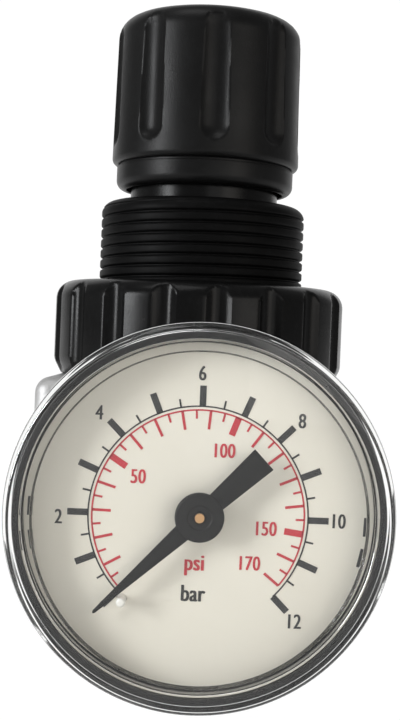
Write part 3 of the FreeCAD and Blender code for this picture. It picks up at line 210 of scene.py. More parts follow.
def block(low, high):
    clearSelection()
    middle = [(a + b) / 2 for a, b in zip(low, high)]
    bpy.ops.mesh.primitive_cube_add(size=1, location=middle, scale=[b - a for a, b in zip(low, high)])
    made = bpy.context.object
    bpy.ops.object.transform_apply(location=True, scale=True)
    return made


def copies(thing, places):
    # a copy with its own mesh for each matrix, all joined, and the pattern piece deleted
    made = []
    for place in places:
        other = thing.copy()
        other.data = thing.data.copy()
        bpy.context.collection.objects.link(other)
        moveTo(other, place)
        made.append(other)
    pick(thing)
    bpy.ops.object.delete()
    return joinAll(made)


def around(thing, angles):
    return copies(thing, [Matrix.Rotation(math.radians(angle), 4, "Z") for angle in angles])


def softened(thing, width, segments=2):
    useModifier(thing, "BEVEL", width=width, segments=segments, limit_method="ANGLE",
                angle_limit=math.radians(30), use_clamp_overlap=True)


def helixThread(crest, root, pitch, low, high, steps, mouth, rootFlat, soft, phase=0.0):
    # a solid threaded rod between two heights, its tooth drawn once and screwed up the axis
    # with spare turns at each end that are then cut off; phase is the height of a groove's
    # middle on the +X side
    spareTurns = 3
    flank = (mouth - rootFlat) / 2
    start = phase - rootFlat / 2 + pitch * (math.floor((low - phase) / pitch) - 1)
    wire = drawOutline([
        (root, start), (root, start + rootFlat), (crest, start + rootFlat + flank, soft),
        (crest, start + pitch - flank, soft), (root, start + pitch)], closed=False, arcSteps=3)
    rounds = math.ceil((high - low) / pitch) + spareTurns
    turn(wire, steps, pitch, rounds)
    for level, upward in ((low, -1), (high, 1)):
        editAll(wire)
        bpy.ops.mesh.bisect(plane_co=(0, 0, level), plane_no=(0, 0, upward), use_fill=True,
                            clear_outer=True, threshold=0.0001)
    bpy.ops.object.mode_set(mode="OBJECT")
    cleanMesh(wire)
    return wire


def settle(thing, name, finish, bodyName="root", instead=(), gauge=False, spin=0.0, sharp=32):
    # brings a finished piece to metres in its place, gives it its surface and puts it on its body
    place = Matrix.Scale(mm, 4)
    if gauge:
        place = place @ Matrix.Translation(gaugeAxis) @ Matrix.Rotation(math.radians(90), 4, "X")
    moveTo(thing, place @ Matrix.Rotation(math.radians(spin), 4, "Z"))
    bpy.ops.object.shade_smooth_by_angle(angle=math.radians(sharp))
    thing.name = name
    thing.data.name = name
    thing.data.materials.clear()
    thing.data.materials.append(finish)
    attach(thing, bodyName)
    if instead:
        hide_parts(*instead)
    print("made", name, len(thing.data.polygons), "faces")


# shared shader groups
def newGroup(name, inputs, outputs):
    group = bpy.data.node_groups.new(name, "ShaderNodeTree")
    for label, kind, value in inputs:
        socket = group.interface.new_socket(label, in_out="INPUT", socket_type="NodeSocket" + kind)
        socket.default_value = value
    for label, kind in outputs:
        group.interface.new_socket(label, in_out="OUTPUT", socket_type="NodeSocket" + kind)
    return group, group.nodes.new("NodeGroupInput"), group.nodes.new("NodeGroupOutput")


def addNode(tree, kind, links=(), **settings):
    # links are (input, source socket or value)
    made = tree.nodes.new("ShaderNode" + kind)
    for name, value in settings.items():
        setattr(made, name, value)
    for socket, source in links:
        if isinstance(source, bpy.types.NodeSocket):
            tree.links.new(source, made.inputs[socket])
        else:
            made.inputs[socket].default_value = source
    return made


def noise(tree, place, scale, detail=2.0, roughness=0.5):
    made = addNode(tree, "TexNoise", [("Vector", place), ("Scale", scale), ("Detail", detail),
                                      ("Roughness", roughness)])
    return made.outputs["Fac"]


def remapped(tree, value, span=(0.0, 1.0), onto=(0.0, 1.0)):
    made = addNode(tree, "MapRange", [("Value", value), ("From Min", span[0]), ("From Max", span[1]),
                                      ("To Min", onto[0]), ("To Max", onto[1])])
    return made.outputs[0]


def combined(tree, operation, first, second):
    return addNode(tree, "Math", [(0, first), (1, second)], operation=operation).outputs[0]


def mixed(tree, share, first, second):
    return addNode(tree, "Mix", [(0, share), (6, first), (7, second)], data_type="RGBA").outputs[2]


def mouldedGroup():
    # fine moulding texture, with duller and glossier patches and a little pale dust
    group, given, out = newGroup("mouldedSurface", [
        ("Grain", "Float", 0.5), ("Roughness", "Float", 0.4), ("Spread", "Float", 0.1),
        ("Colour", "Color", (0.02, 0.02, 0.02, 1)), ("Bloom", "Float", 0.3)],
        [("Colour", "Color"), ("Roughness", "Float"), ("Height", "Float")])
    where = addNode(group, "TexCoord").outputs["Object"]
    fine = noise(group, where, scale=5200.0, detail=3.0)
    cloud = noise(group, where, scale=210.0, detail=4.0)
    specks = noise(group, where, scale=900.0, detail=6.0, roughness=0.7)
    patches = remapped(group, cloud, span=(0.3, 0.7), onto=(-1.0, 1.0))
    flecks = remapped(group, specks, span=(0.52, 0.8))
    spread = combined(group, "MULTIPLY", patches, given.outputs["Spread"])
    dust = combined(group, "MULTIPLY", flecks, given.outputs["Bloom"])
    rough = combined(group, "ADD", spread, given.outputs["Roughness"])
    height = combined(group, "MULTIPLY", fine, given.outputs["Grain"])
    dustColour = (0.09, 0.09, 0.1, 1)
    colour = mixed(group, dust, given.outputs["Colour"], dustColour)
    for label, socket in (("Colour", colour), ("Roughness", rough), ("Height", height)):
        group.links.new(socket, out.inputs[label])
    return group


def metalGroup():
    # turned or cast metal: fine grain, with dull patches
    group, given, out = newGroup("metalSurface", [
        ("Colour", "Color", (0.8, 0.6, 0.3, 1)), ("Dull", "Color", (0.5, 0.4, 0.2, 1)),
        ("Roughness", "Float", 0.25), ("Spread", "Float", 0.1), ("Grain", "Float", 0.3),
        ("Fineness", "Float", 2500.0)], [("Colour", "Color"), ("Roughness", "Float"), ("Height", "Float")])
    where = addNode(group, "TexCoord").outputs["Object"]
    grain = noise(group, where, scale=given.outputs["Fineness"], detail=4.0)
    cloud = noise(group, where, scale=160.0, detail=5.0, roughness=0.65)
    patches = remapped(group, cloud, span=(0.35, 0.7))
    spread = combined(group, "MULTIPLY", patches, given.outputs["Spread"])
    rough = combined(group, "ADD", spread, given.outputs["Roughness"])
    height = combined(group, "MULTIPLY", grain, given.outputs["Grain"])
    colour = mixed(group, patches, given.outputs["Colour"], given.outputs["Dull"])
    for label, socket in (("Colour", colour), ("Roughness", rough), ("Height", height)):
        group.links.new(socket, out.inputs[label])
    return group


moulded, metal = mouldedGroup(), metalGroup()


def surface(name, group, values, depth=0.00002, **fixed):
    # a Principled surface fed by a shared group; fixed numbers are set on its own sockets
    made = bpy.data.materials.new(name)
    made.use_nodes = True
    tree = made.node_tree
    shader = tree.nodes["Principled BSDF"]
    feed = tree.nodes.new("ShaderNodeGroup")
    feed.node_tree = group
    for socket, value in values.items():
        feed.inputs[socket].default_value = value
    tree.links.new(feed.outputs["Colour"], shader.inputs["Base Color"])
    tree.links.new(feed.outputs["Roughness"], shader.inputs["Roughness"])
    bump = addNode(tree, "Bump", [("Height", feed.outputs["Height"]), ("Distance", depth), ("Strength", 1.0)])
    tree.links.new(bump.outputs[0], shader.inputs["Normal"])
    for socket, value in fixed.items():
        shader.inputs[socket.replace("_", " ")].default_value = value
    return made


def grey(level, warm=0.0):
    return (level * (1 + warm), level, level * (1 - warm), 1)


finishes = {
    "knobBlack": surface("knobBlack", moulded, {"Colour": grey(0.004), "Roughness": 0.36, "Spread": 0.05,
                                                "Grain": 0.9, "Bloom": 0.03}, Specular_IOR_Level=0.125),
    "bonnetBlack": surface("bonnetBlack", moulded, {"Colour": grey(0.0032), "Roughness": 0.24, "Spread": 0.05,
                                                    "Grain": 0.4, "Bloom": 0.03}, Specular_IOR_Level=0.11),
    "threadBlack": surface("threadBlack", moulded, {"Colour": grey(0.0022), "Roughness": 0.5, "Spread": 0.06,
                                                    "Grain": 0.7, "Bloom": 0.03}, Specular_IOR_Level=0.05),
    "caseBlack": surface("caseBlack", moulded, {"Colour": grey(0.0035), "Roughness": 0.25, "Spread": 0.04,
                                                "Grain": 0.25, "Bloom": 0.03}, Specular_IOR_Level=0.25),
    "plugBlack": surface("plugBlack", moulded, {"Colour": grey(0.012), "Roughness": 0.42, "Spread": 0.08,
                                                "Grain": 0.6, "Bloom": 0.1}),
    "rubber": surface("rubber", moulded, {"Colour": grey(0.018), "Roughness": 0.62, "Spread": 0.08,
                                          "Grain": 0.8, "Bloom": 0.35}),
    "acetal": surface("acetal", moulded, {"Colour": (0.76, 0.75, 0.71, 1), "Roughness": 0.38, "Spread": 0.06,
                                          "Grain": 0.3, "Bloom": 0.05}),
    "pinWhite": surface("pinWhite", moulded, {"Colour": (0.84, 0.83, 0.79, 1), "Roughness": 0.32,
                                              "Spread": 0.05, "Grain": 0.2, "Bloom": 0.02}),
    "pointerBlack": surface("pointerBlack", moulded, {"Colour": grey(0.008), "Roughness": 0.46,
                                                      "Spread": 0.06, "Grain": 0.35, "Bloom": 0.05},
                            Specular_IOR_Level=0.1),
    "inkBlack": surface("inkBlack", moulded, {"Colour": grey(0.012), "Roughness": 0.5, "Spread": 0.05,
                                              "Grain": 0.15, "Bloom": 0.05}),
    "inkRed": surface("inkRed", moulded, {"Colour": (0.53, 0.028, 0.045, 1), "Roughness": 0.5, "Spread": 0.05,
                                          "Grain": 0.15, "Bloom": 0.02}),
    "zinc": surface("zinc", metal, {"Colour": grey(0.5), "Dull": grey(0.4, 0.01), "Roughness": 0.5,
                                    "Spread": 0.14, "Grain": 0.8, "Fineness": 1700.0},
                    depth=0.00006, Metallic=0.85),
    "brass": surface("brass", metal, {"Colour": (0.78, 0.56, 0.24, 1), "Dull": (0.58, 0.4, 0.17, 1),
                                      "Roughness": 0.24, "Spread": 0.16, "Grain": 0.35}, Metallic=1.0),
    "bronze": surface("bronze", metal, {"Colour": (0.52, 0.31, 0.15, 1), "Dull": (0.36, 0.2, 0.1, 1),
                                        "Roughness": 0.28, "Spread": 0.14, "Grain": 0.3}, Metallic=1.0),
    "steel": surface("steel", metal, {"Colour": grey(0.62), "Dull": grey(0.48), "Roughness": 0.27,
                                      "Spread": 0.13, "Grain": 0.35, "Fineness": 3200.0}, Metallic=1.0),
}


def enamelFinish():
    # warm dial paint with a slight uneven fade
    made = surface("dialEnamel", moulded, {"Colour": (0.83, 0.795, 0.71, 1), "Roughness": 0.46,
                                           "Spread": 0.05, "Grain": 0.2, "Bloom": 0.0})
    tree = made.node_tree
    where = addNode(tree, "TexCoord").outputs["Object"]
    cloud = noise(tree, where, scale=60.0, detail=3.0)
    fade = remapped(tree, cloud, span=(0.35, 0.7), onto=(0.0, 0.5))
    feed = next(node for node in tree.nodes if node.type == "GROUP")
    fadedColour = (0.78, 0.735, 0.64, 1)
    tint = mixed(tree, fade, feed.outputs["Colour"], fadedColour)
    tree.links.new(tint, tree.nodes["Principled BSDF"].inputs["Base Color"])
    return made


def clearFinish():
    # clear plastic: glass to the eye, and open to lamps so that the dial behind it is lit
    made = bpy.data.materials.new("clearPlastic")
    made.use_nodes = True
    tree = made.node_tree
    shader = tree.nodes["Principled BSDF"]
    for socket, value in (("Transmission Weight", 1.0), ("IOR", 1.34), ("Metallic", 0.0)):
        shader.inputs[socket].default_value = value
    where = addNode(tree, "TexCoord").outputs["Object"]
    smear = noise(tree, where, scale=90.0, detail=5.0, roughness=0.6)
    rough = remapped(tree, smear, span=(0.4, 0.75), onto=(0.015, 0.05))
    cleanColour, smearedColour = (0.985, 0.985, 0.98, 1), (0.955, 0.96, 0.95, 1)
    tree.links.new(rough, shader.inputs["Roughness"])
    tree.links.new(mixed(tree, smear, cleanColour, smearedColour), shader.inputs["Base Color"])
    path = addNode(tree, "LightPath")
    plain = combined(tree, "MAXIMUM", path.outputs["Is Shadow Ray"], path.outputs["Is Diffuse Ray"])
    lampColour = (0.93, 0.93, 0.92, 1)
    through = addNode(tree, "BsdfTransparent", [("Color", lampColour)])
    blend = addNode(tree, "MixShader", [(0, plain), (1, shader.outputs[0]), (2, through.outputs[0])])
    tree.links.new(blend.outputs[0], tree.nodes["Material Output"].inputs["Surface"])
    return made


finishes["dialEnamel"] = enamelFinish()
finishes["clear"] = clearFinish()
print("materials ready", len(finishes))

# every CAD node gets its finish, and those that nothing replaces are seen with it
nodeFinishes = {
    "steel": ["adjusting_screw", "thrust_washer", "regulating_spring", "valve_spring", "diaphragm_plate",
              "case_screws", "pillar_screws", "plate_screws", "sector_arbor"],
    "brass": ["relief_seat", "valve_stem", "sector_gear", "hairspring_collet", "hairspring_stud",
              "movement_back_plate", "movement_front_plate", "movement_pillars", "gauge_stem", "rear_plug",
              "tube_tip", "link"],
    "bronze": ["bourdon_tube", "hairspring", "pinion_arbor"],
    "rubber": ["diaphragm", "valve_disc", "plug_ring", "rear_plug_ring"],
    "acetal": ["spring_nut", "slip_ring"],
    "plugBlack": ["bottom_plug"],
    "zinc": ["body"],
    "caseBlack": ["gauge_case"],
    "knobBlack": ["knob"],
    "bonnetBlack": ["bonnet"],
    "clear": ["gauge_window"],
    "dialEnamel": ["dial"],
    "pinWhite": ["stop_pin"],
    "pointerBlack": ["pointer"],
}
for finishName, nodeNames in nodeFinishes.items():
    for nodeName in nodeNames:
        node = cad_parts[nodeName]
        node.data.materials.clear()
        node.data.materials.append(finishes[finishName])
print("finishes on the CAD nodes")

# bonnet: fluted skirt, threaded neck and throat
bonnet = {
    "skirtRadius": 21.2, "skirtLow": -14.2, "bevelRadius": 20.1, "bevelHigh": -12.1, "shoulderRound": 2.6,
    "boreSoft": 0.2, "footSoft": 0.35, "bevelSoft": 0.5, "collarBore": 18.34, "clampHeight": -4.7,
    "neckBore": 11.8, "skirtArcSteps": 12,
    "flutes": 18, "fluteCutter": 2.1, "fluteDepth": 0.85, "fluteStart": -84.0, "fluteSteps": 26,
    "fluteBand": 0.6, "fluteMost": 1.6,
    "seat": -0.6, "neckRadius": 15.0, "neckRoot": 14.58, "neckHigh": 11.3, "neckRound": 1.8, "neckRoof": 8.1,
    "neckSunk": 0.4, "neckShell": 0.02, "rodUnder": 0.1, "rodOver": 0.5, "neckSteps": 120, "neckArcSteps": 8,
    "pitch": 1.5, "mouth": 0.55, "rootFlat": 0.14, "crestSoft": 0.16, "threadPhase": 0.575,
    "throatRadius": 10.87, "throatBore": 8.97, "throatHigh": 24.8, "throatRoof": 22.3, "throatRound": 0.8,
    "screwBore": 4.05, "screwBoreSoft": 0.2, "throatSteps": 120,
    "beadLow": 18.5, "beadHigh": 19.5, "beadRise": 0.35, "beadSlope": 0.3, "beadSoft": 0.1,
    "splines": 24, "splineLow": 14.9, "splineHigh": 16.6, "splineRise": 0.55, "splineHalf": 0.55,
    "splineSunk": 0.3, "splineSoft": 0.12,
}


def makeSkirt(size):
    skirt = turned([
        (size["collarBore"], size["skirtLow"], size["boreSoft"]),
        (size["bevelRadius"], size["skirtLow"], size["footSoft"]),
        (size["skirtRadius"], size["bevelHigh"], size["bevelSoft"]),
        (size["skirtRadius"], size["seat"], size["shoulderRound"]), (size["neckBore"], size["seat"]),
        (size["neckBore"], size["clampHeight"]), (size["collarBore"], size["clampHeight"])],
        steps=size["flutes"] * size["fluteSteps"], arcSteps=size["skirtArcSteps"])

    def fluteDepth(place, normal):
        # the cutter runs straight down, so it leaves the rounded shoulder by itself
        radius = math.hypot(place.x, place.y)
        outward = (place.x * normal.x + place.y * normal.y) / radius
        if outward < leastFacing or radius < size["bevelRadius"] - size["fluteBand"]:
            return 0.0
        across = radius * math.sin(offPitch(place, size["flutes"], size["fluteStart"]))
        depth = scallop(across, size["fluteCutter"], size["fluteDepth"]) - (size["skirtRadius"] - radius)
        return max(0.0, depth) / outward

    pressIn(skirt, size["fluteMost"], fluteDepth)
    return skirt


def makeNeck(size):
    # a threaded rod, cut to the neck's hollow and rounded profile
    foot = size["seat"] - size["neckSunk"]
    outer = size["neckRadius"] + size["neckShell"]
    neck = helixThread(size["neckRadius"], size["neckRoot"], size["pitch"], foot - size["rodUnder"],
                       size["neckHigh"] + size["rodOver"], size["neckSteps"], size["mouth"], size["rootFlat"],
                       size["crestSoft"], size["threadPhase"])
    hull = turned([
        (size["neckBore"], foot), (outer, foot), (outer, size["neckHigh"], size["neckRound"]),
        (size["throatBore"], size["neckHigh"]), (size["throatBore"], size["neckRoof"]),
        (size["neckBore"], size["neckRoof"])], steps=size["neckSteps"], arcSteps=size["neckArcSteps"])
    cutWith(neck, hull, "INTERSECT")
    return neck


def makeThroat(size):
    radius, top = size["throatRadius"], size["throatHigh"]
    throat = turned([
        (size["throatBore"], size["neckHigh"]), (radius, size["neckHigh"]), (radius, size["beadLow"]),
        (radius + size["beadRise"], size["beadLow"] + size["beadSlope"], size["beadSoft"]),
        (radius + size["beadRise"], size["beadHigh"] - size["beadSlope"], size["beadSoft"]),
        (radius, size["beadHigh"]), (radius, top, size["throatRound"]),
        (size["screwBore"], top, size["screwBoreSoft"]), (size["screwBore"], size["throatRoof"]),
        (size["throatBore"], size["throatRoof"])], steps=size["throatSteps"])
    tooth = block((radius - size["splineSunk"], -size["splineHalf"], size["splineLow"]),
                  (radius + size["splineRise"], size["splineHalf"], size["splineHigh"]))
    softened(tooth, size["splineSoft"])
    angles = [360 * step / size["splines"] for step in range(size["splines"])]
    return joinAll([throat, around(tooth, angles)])


bonnetPiece = joinAll([makeSkirt(bonnet), makeThroat(bonnet)])
settle(bonnetPiece, "bonnet_moulding", finishes["bonnetBlack"], instead=["bonnet"])
settle(makeNeck(bonnet), "bonnet_neck_thread", finishes["threadBlack"], instead=["bonnet"],
       sharp=50)

# knob with nine grip grooves and a plain lip
knob = {
    "topRadius": 13.45, "radius": 13.8, "top": 38.4, "step": 16.84, "crownRound": 3.0,
    "dish": 0.25, "dishRadius": 9.2, "dishSlope": 0.35, "dishSoft": 0.15, "stepRound": 0.9,
    "grooveBottom": 16.54, "grooveRadius": 12.75, "grooveSoft": 0.12,
    "lipRadius": 13.05, "lipLow": 13.2, "lipRound": 1.35, "bore": 11.6, "boreSoft": 0.2, "ceiling": 35.9,
    "bossRadius": 6.0, "bossLow": 26.9, "socketRadius": 4.1, "socketTop": 34.6, "socketUnder": 0.5,
    "grips": 9, "gripCutter": 2.85, "gripDepth": 0.95, "gripLow": 18.5, "gripHigh": 38.3,
    "gripStart": -86.6, "gripFoot": 0.2, "gripBand": 1.5, "gripMost": 1.4,
    "steps": 56, "rows": 54, "arcSteps": 8, "wallMargin": 0.2,
}


def makeKnob(size):
    wire = drawOutline([
        (0, size["top"] - size["dish"]), (size["dishRadius"], size["top"] - size["dish"], size["dishSoft"]),
        (size["dishRadius"] + size["dishSlope"], size["top"], size["dishSoft"]),
        (size["topRadius"], size["top"], size["crownRound"]),
        (size["radius"], size["step"], size["stepRound"]), (size["grooveRadius"], size["step"]),
        (size["grooveRadius"], size["grooveBottom"]),
        (size["lipRadius"], size["grooveBottom"], size["grooveSoft"]),
        (size["lipRadius"], size["lipLow"], size["lipRound"]),
        (size["bore"], size["lipLow"], size["boreSoft"]),
        (size["bore"], size["ceiling"]), (size["bossRadius"], size["ceiling"]),
        (size["bossRadius"], size["bossLow"]), (0, size["bossLow"])], closed=False, arcSteps=size["arcSteps"])
    # only the long wall is split into rows, for the grips to be pressed into
    wall = (size["top"] - size["crownRound"]) - (size["step"] + size["stepRound"])
    selectWhere(wire, lambda first, second: min(first.x, second.x) > size["lipRadius"] + size["wallMargin"]
                and abs(first.z - second.z) > wall - 1, kind="EDGE")
    bpy.ops.mesh.subdivide(number_cuts=size["rows"])
    body = turn(wire, size["grips"] * size["steps"])
    middle = (size["gripLow"] + size["gripHigh"]) / 2
    straight = (size["gripHigh"] - size["gripLow"]) / 2 - size["gripCutter"]

    def gripDepth(place, normal):
        radius = math.hypot(place.x, place.y)
        if radius < size["lipRadius"] - size["gripBand"] or place.z < size["step"] + size["gripFoot"]:
            return 0.0
        outward = (place.x * normal.x + place.y * normal.y) / radius
        if outward < leastFacing:
            return 0.0
        across = radius * math.sin(offPitch(place, size["grips"], size["gripStart"]))
        along = max(0.0, abs(place.z - middle) - straight)
        depth = scallop(math.hypot(across, along), size["gripCutter"], size["gripDepth"])
        return max(0.0, depth - (size["radius"] - radius)) / outward

    pressIn(body, size["gripMost"], gripDepth)
    socket = prism(6, size["socketRadius"], size["bossLow"] - size["socketUnder"], size["socketTop"])
    return cutWith(body, socket)


settle(makeKnob(knob), "knob_moulding", finishes["knobBlack"], "knob", ["knob"])

# gauge case, clear window and dial
gauge = {
    "caseBack": 11.6, "caseRadius": 20.0, "stemHole": 6.42, "floor": 13.1, "step": 30.45, "rimRadius": 19.4,
    "rimFront": 36.85, "rimBore": 18.7, "dialBack": 33.0, "ledge": 17.8, "backRound": 1.2, "stepSoft": 0.2,
    "rimSoft": 0.12, "caseSteps": 160, "screwReach": 9.702, "screwHole": 1.24, "holeSides": 32,
    # a shallow ring groove in the case's back: its radii in order, its depth and its roundings
    "ringRadii": (13.6, 13.8, 14.6, 14.8), "ringDeep": 0.35, "ringFoot": 0.15, "ringSoft": 0.1,
    "windowRadius": 20.4, "windowFront": 37.65, "windowLow": 30.75, "windowBevel": 0.6, "bevelSoft": 0.25,
    "windowSoft": 0.15, "skirtBore": 19.42, "skirtSoft": 0.1, "windowSteps": 240,
    "spigot": 18.68, "spigotInner": 18.42, "spigotLow": 34.95, "spigotSoft": 0.06, "roof": 36.87,
    "paneFront": 37.15, "paneBack": 36.15, "paneRadius": 17.3, "paneSlope": 0.15, "paneSoft": 0.08,
    "backBevel": 0.12, "backSoft": 0.04,
    "dialFront": 33.5, "dialRadius": 18.6, "dialHole": 1.6, "dialGap": 0.02, "dialSoft": 0.06,
    "dialArcSteps": 3,
    "stopRadius": 12.1, "stopAngle": 229.4, "stopHole": 0.54, "stopPin": 0.5, "stopHigh": 2.3,
    "stopRound": 0.3, "stopSteps": 40,
}


def makeCase(size):
    back, sunk = size["caseBack"], size["caseBack"] + size["ringDeep"]
    first, second, third, last = size["ringRadii"]
    case = turned([
        (size["stemHole"], back), (first, back, size["ringFoot"]), (second, sunk, size["ringSoft"]),
        (third, sunk, size["ringSoft"]), (last, back, size["ringFoot"]),
        (size["caseRadius"], back, size["backRound"]), (size["caseRadius"], size["step"], size["stepSoft"]),
        (size["rimRadius"], size["step"]), (size["rimRadius"], size["rimFront"], size["rimSoft"]),
        (size["rimBore"], size["rimFront"], size["rimSoft"]), (size["rimBore"], size["dialBack"]),
        (size["ledge"], size["dialBack"]), (size["ledge"], size["floor"]), (size["stemHole"], size["floor"])],
        steps=size["caseSteps"])
    for side in (-1, 1):
        cutWith(case, prism(size["holeSides"], size["screwHole"], back - cutOver, size["floor"] + cutOver,
                            (0, side * size["screwReach"])))
    return case


def makeWindow(size):
    outer, front = size["windowRadius"], size["windowFront"]
    return turned([
        (0, size["paneBack"]), (size["spigotInner"] - size["backBevel"], size["paneBack"]),
        (size["spigotInner"], size["paneBack"] - size["backBevel"], size["backSoft"]),
        (size["spigotInner"], size["spigotLow"], size["spigotSoft"]),
        (size["spigot"], size["spigotLow"], size["spigotSoft"]), (size["spigot"], size["roof"]),
        (size["skirtBore"], size["roof"]), (size["skirtBore"], size["windowLow"], size["skirtSoft"]),
        (outer, size["windowLow"], size["windowSoft"]),
        (outer, front - size["windowBevel"], size["bevelSoft"]),
        (outer - size["windowBevel"], front, size["bevelSoft"]),
        (size["paneRadius"] + size["paneSlope"], front, size["paneSoft"]),
        (size["paneRadius"], size["paneFront"], size["paneSoft"]), (0, size["paneFront"])],
        steps=size["windowSteps"])


def stopPlace(size):
    angle = math.radians(size["stopAngle"])
    return size["stopRadius"] * math.cos(angle), size["stopRadius"] * math.sin(angle)


def makeDial(size):
    low, high = size["dialBack"] + size["dialGap"], size["dialFront"]
    dial = turned([
        (size["dialHole"], low), (size["dialRadius"], low), (size["dialRadius"], high, size["dialSoft"]),
        (size["dialHole"], high, size["dialSoft"])], steps=size["caseSteps"], arcSteps=size["dialArcSteps"])
    return cutWith(dial, prism(size["holeSides"], size["stopHole"], size["dialBack"] - cutOver,
                               high + cutOver, stopPlace(size)))


settle(makeCase(gauge), "gauge_case_shell", finishes["caseBlack"], instead=["gauge_case"],
       gauge=True)
settle(makeWindow(gauge), "gauge_window_cap", finishes["clear"], instead=["gauge_window"],
       gauge=True)
settle(makeDial(gauge), "dial_plate", finishes["dialEnamel"], instead=["dial"], gauge=True)

# dial print: a black bar scale outside and a red psi scale inside
scale = {
    "zeroAngle": 225.0, "sweep": 270.0, "barFull": 12, "barPerPsi": 0.0689476, "level": 33.505, "ink": 0.03,
    "blackArc": 11.7, "blackArcWidth": 0.16, "majorEnd": 13.9, "majorWidth": 0.7, "minorEnd": 12.6,
    "minorWidth": 0.2, "redArc": 11.3, "redArcWidth": 0.17, "psiShort": 0.92, "psiLong": 2.0,
    "psiWidth": 0.22, "psiTenWidth": 0.286, "psiThick": 0.7, "psiLast": 170, "arcSteps": 160,
    "numeral": 2.2, "redNumeral": 2.15, "word": 2.5, "narrow": 0.74, "spacing": 1.06,
    "bold": 0.05, "wordBold": 0.075, "strikeRise": 0.008, "shift": (-0.1, -0.12),
    "notches": (178.5, 189.9, -1.6, -12.3), "notchInner": 17.65, "notchOuter": 18.1, "notchWide": 2.0,
    "bars": {"2": (-14.82, -0.56), "4": (-10.92, 10.63), "6": (-0.14, 15.22), "8": (10.66, 10.55),
             "10": (15.03, 0.03), "12": (10.72, -10.83)},
    "psis": {"50": (-6.53, 4.0), "100": (2.56, 7.07), "150": (7.3, -1.05), "170": (5.70, -4.80)},
    "words": {"psi": (-0.21, -5.26), "bar": (-0.20, -8.23)},
}


def scaleTurn(bar):
    return scale["zeroAngle"] - scale["sweep"] * bar / scale["barFull"]


def inkBar(inner, outer, width, angles):
    return around(block((inner, -width / 2, 0), (outer, width / 2, scale["ink"])), angles)


def inkArc(radius, width, first, last):
    # the leading end of a very narrow strip is spun round the dial's centre
    thin = 0.001
    strip = block((radius - width / 2, -thin, 0), (radius + width / 2, thin, scale["ink"]))
    editAll(strip)
    bpy.ops.transform.rotate(value=-math.radians(first), orient_axis="Z", center_override=(0, 0, 0))
    outward = Matrix.Rotation(math.radians(first), 4, "Z") @ Vector((1, 0, 0))
    selectWhere(strip, lambda centre, normal: normal.cross(outward).z > 0.9, kind="FACE")
    bpy.ops.mesh.spin(steps=scale["arcSteps"], angle=math.radians(first - last), center=(0, 0, 0),
                      axis=(0, 0, 1))
    bpy.ops.object.mode_set(mode="OBJECT")
    return strip


def inkWord(text, place, size, bold):
    # set narrow on its place, then struck three times side by side to thicken its strokes
    clearSelection()
    bpy.ops.object.text_add(location=(0, 0, 0))
    word = bpy.context.object
    word.data.body, word.data.size = text, size
    word.data.align_x, word.data.align_y = "CENTER", "CENTER"
    word.data.extrude = scale["ink"] / 2
    word.data.space_character = scale["spacing"]
    bpy.ops.object.convert(target="MESH")
    made = bpy.context.object
    middle = [sum(corner[axis] for corner in made.bound_box) / 8 for axis in (0, 1)]
    moveTo(made, Matrix.Translation((place[0], place[1], scale["ink"] / 2))
           @ Matrix.Diagonal((scale["narrow"], 1, 1, 1)) @ Matrix.Translation((-middle[0], -middle[1], 0)))
    return copies(made, [Matrix.Translation((step * bold, 0, step * scale["strikeRise"]))
                         for step in (-1, 0, 1)])


def makeBlackPrint(size):
    majors = [scaleTurn(bar) for bar in range(size["barFull"] + 1)]
    minors = [scaleTurn(bar + 0.5) for bar in range(size["barFull"])]
    marks = [
        inkBar(size["blackArc"], size["majorEnd"], size["majorWidth"], majors),
        inkBar(size["blackArc"], size["minorEnd"], size["minorWidth"], minors),
        inkArc(size["blackArc"], size["blackArcWidth"], scaleTurn(0), scaleTurn(size["barFull"])),
        inkBar(size["notchInner"], size["notchOuter"], size["notchWide"], size["notches"])]
    marks += [inkWord(text, place, size["numeral"], size["bold"]) for text, place in size["bars"].items()]
    marks.append(inkWord("bar", size["words"]["bar"], size["word"], size["wordBold"]))
    return joinAll(marks)


def makeRedPrint(size):
    def psiTurn(psi):
        return scaleTurn(psi * size["barPerPsi"])

    # short marks halfway between the tens, and thick ones at each fifty
    last = size["psiLast"]
    short = [psiTurn(psi) for psi in range(5, last, 10)]
    tens = [psiTurn(psi) for psi in range(0, last + 1, 10) if psi % 50 or psi == 0]
    fifties = [psiTurn(psi) for psi in range(50, last, 50)]
    inner = size["redArc"] - size["psiLong"]
    marks = [
        inkBar(size["redArc"] - size["psiShort"], size["redArc"], size["psiWidth"], short),
        inkBar(inner, size["redArc"], size["psiTenWidth"], tens),
        inkBar(inner, size["redArc"], size["psiThick"], fifties),
        inkArc(size["redArc"], size["redArcWidth"], psiTurn(0), psiTurn(last))]
    marks += [inkWord(text, place, size["redNumeral"], size["bold"]) for text, place in size["psis"].items()]
    marks.append(inkWord("psi", size["words"]["psi"], size["word"], size["wordBold"]))
    return joinAll(marks)


for makePrint, printName, inkName in ((makeBlackPrint, "dial_print_black", "inkBlack"),
                                      (makeRedPrint, "dial_print_red", "inkRed")):
    printed = makePrint(scale)
    editAll(printed)
    bpy.ops.transform.translate(value=(*scale["shift"], scale["level"]))
    bpy.ops.object.mode_set(mode="OBJECT")
    settle(printed, printName, finishes[inkName], gauge=True)

# pointer and its stop
pointer = {
    "level": 35.0, "thick": 0.35, "length": 15.0, "rootReach": 1.82, "rootWidth": 2.0, "tipWidth": 0.35,
    "point": 0.2, "pointWidth": 0.12, "tail": 9.1, "tailWidth": 2.9, "edgeSoft": 0.07,
    "hub": 2.6, "hubHigh": 0.9, "hubUnder": 0.3, "hubFoot": 1.3, "hubRound": 0.3, "hubSoft": 0.1,
    "ringRadius": 1.35, "ringDeep": 0.15, "ringSoft": 0.06, "bore": 0.51, "boreBevel": 0.25, "boreDeep": 0.3,
    "hubSteps": 96, "hubArcSteps": 5, "rest": 224.0,
}


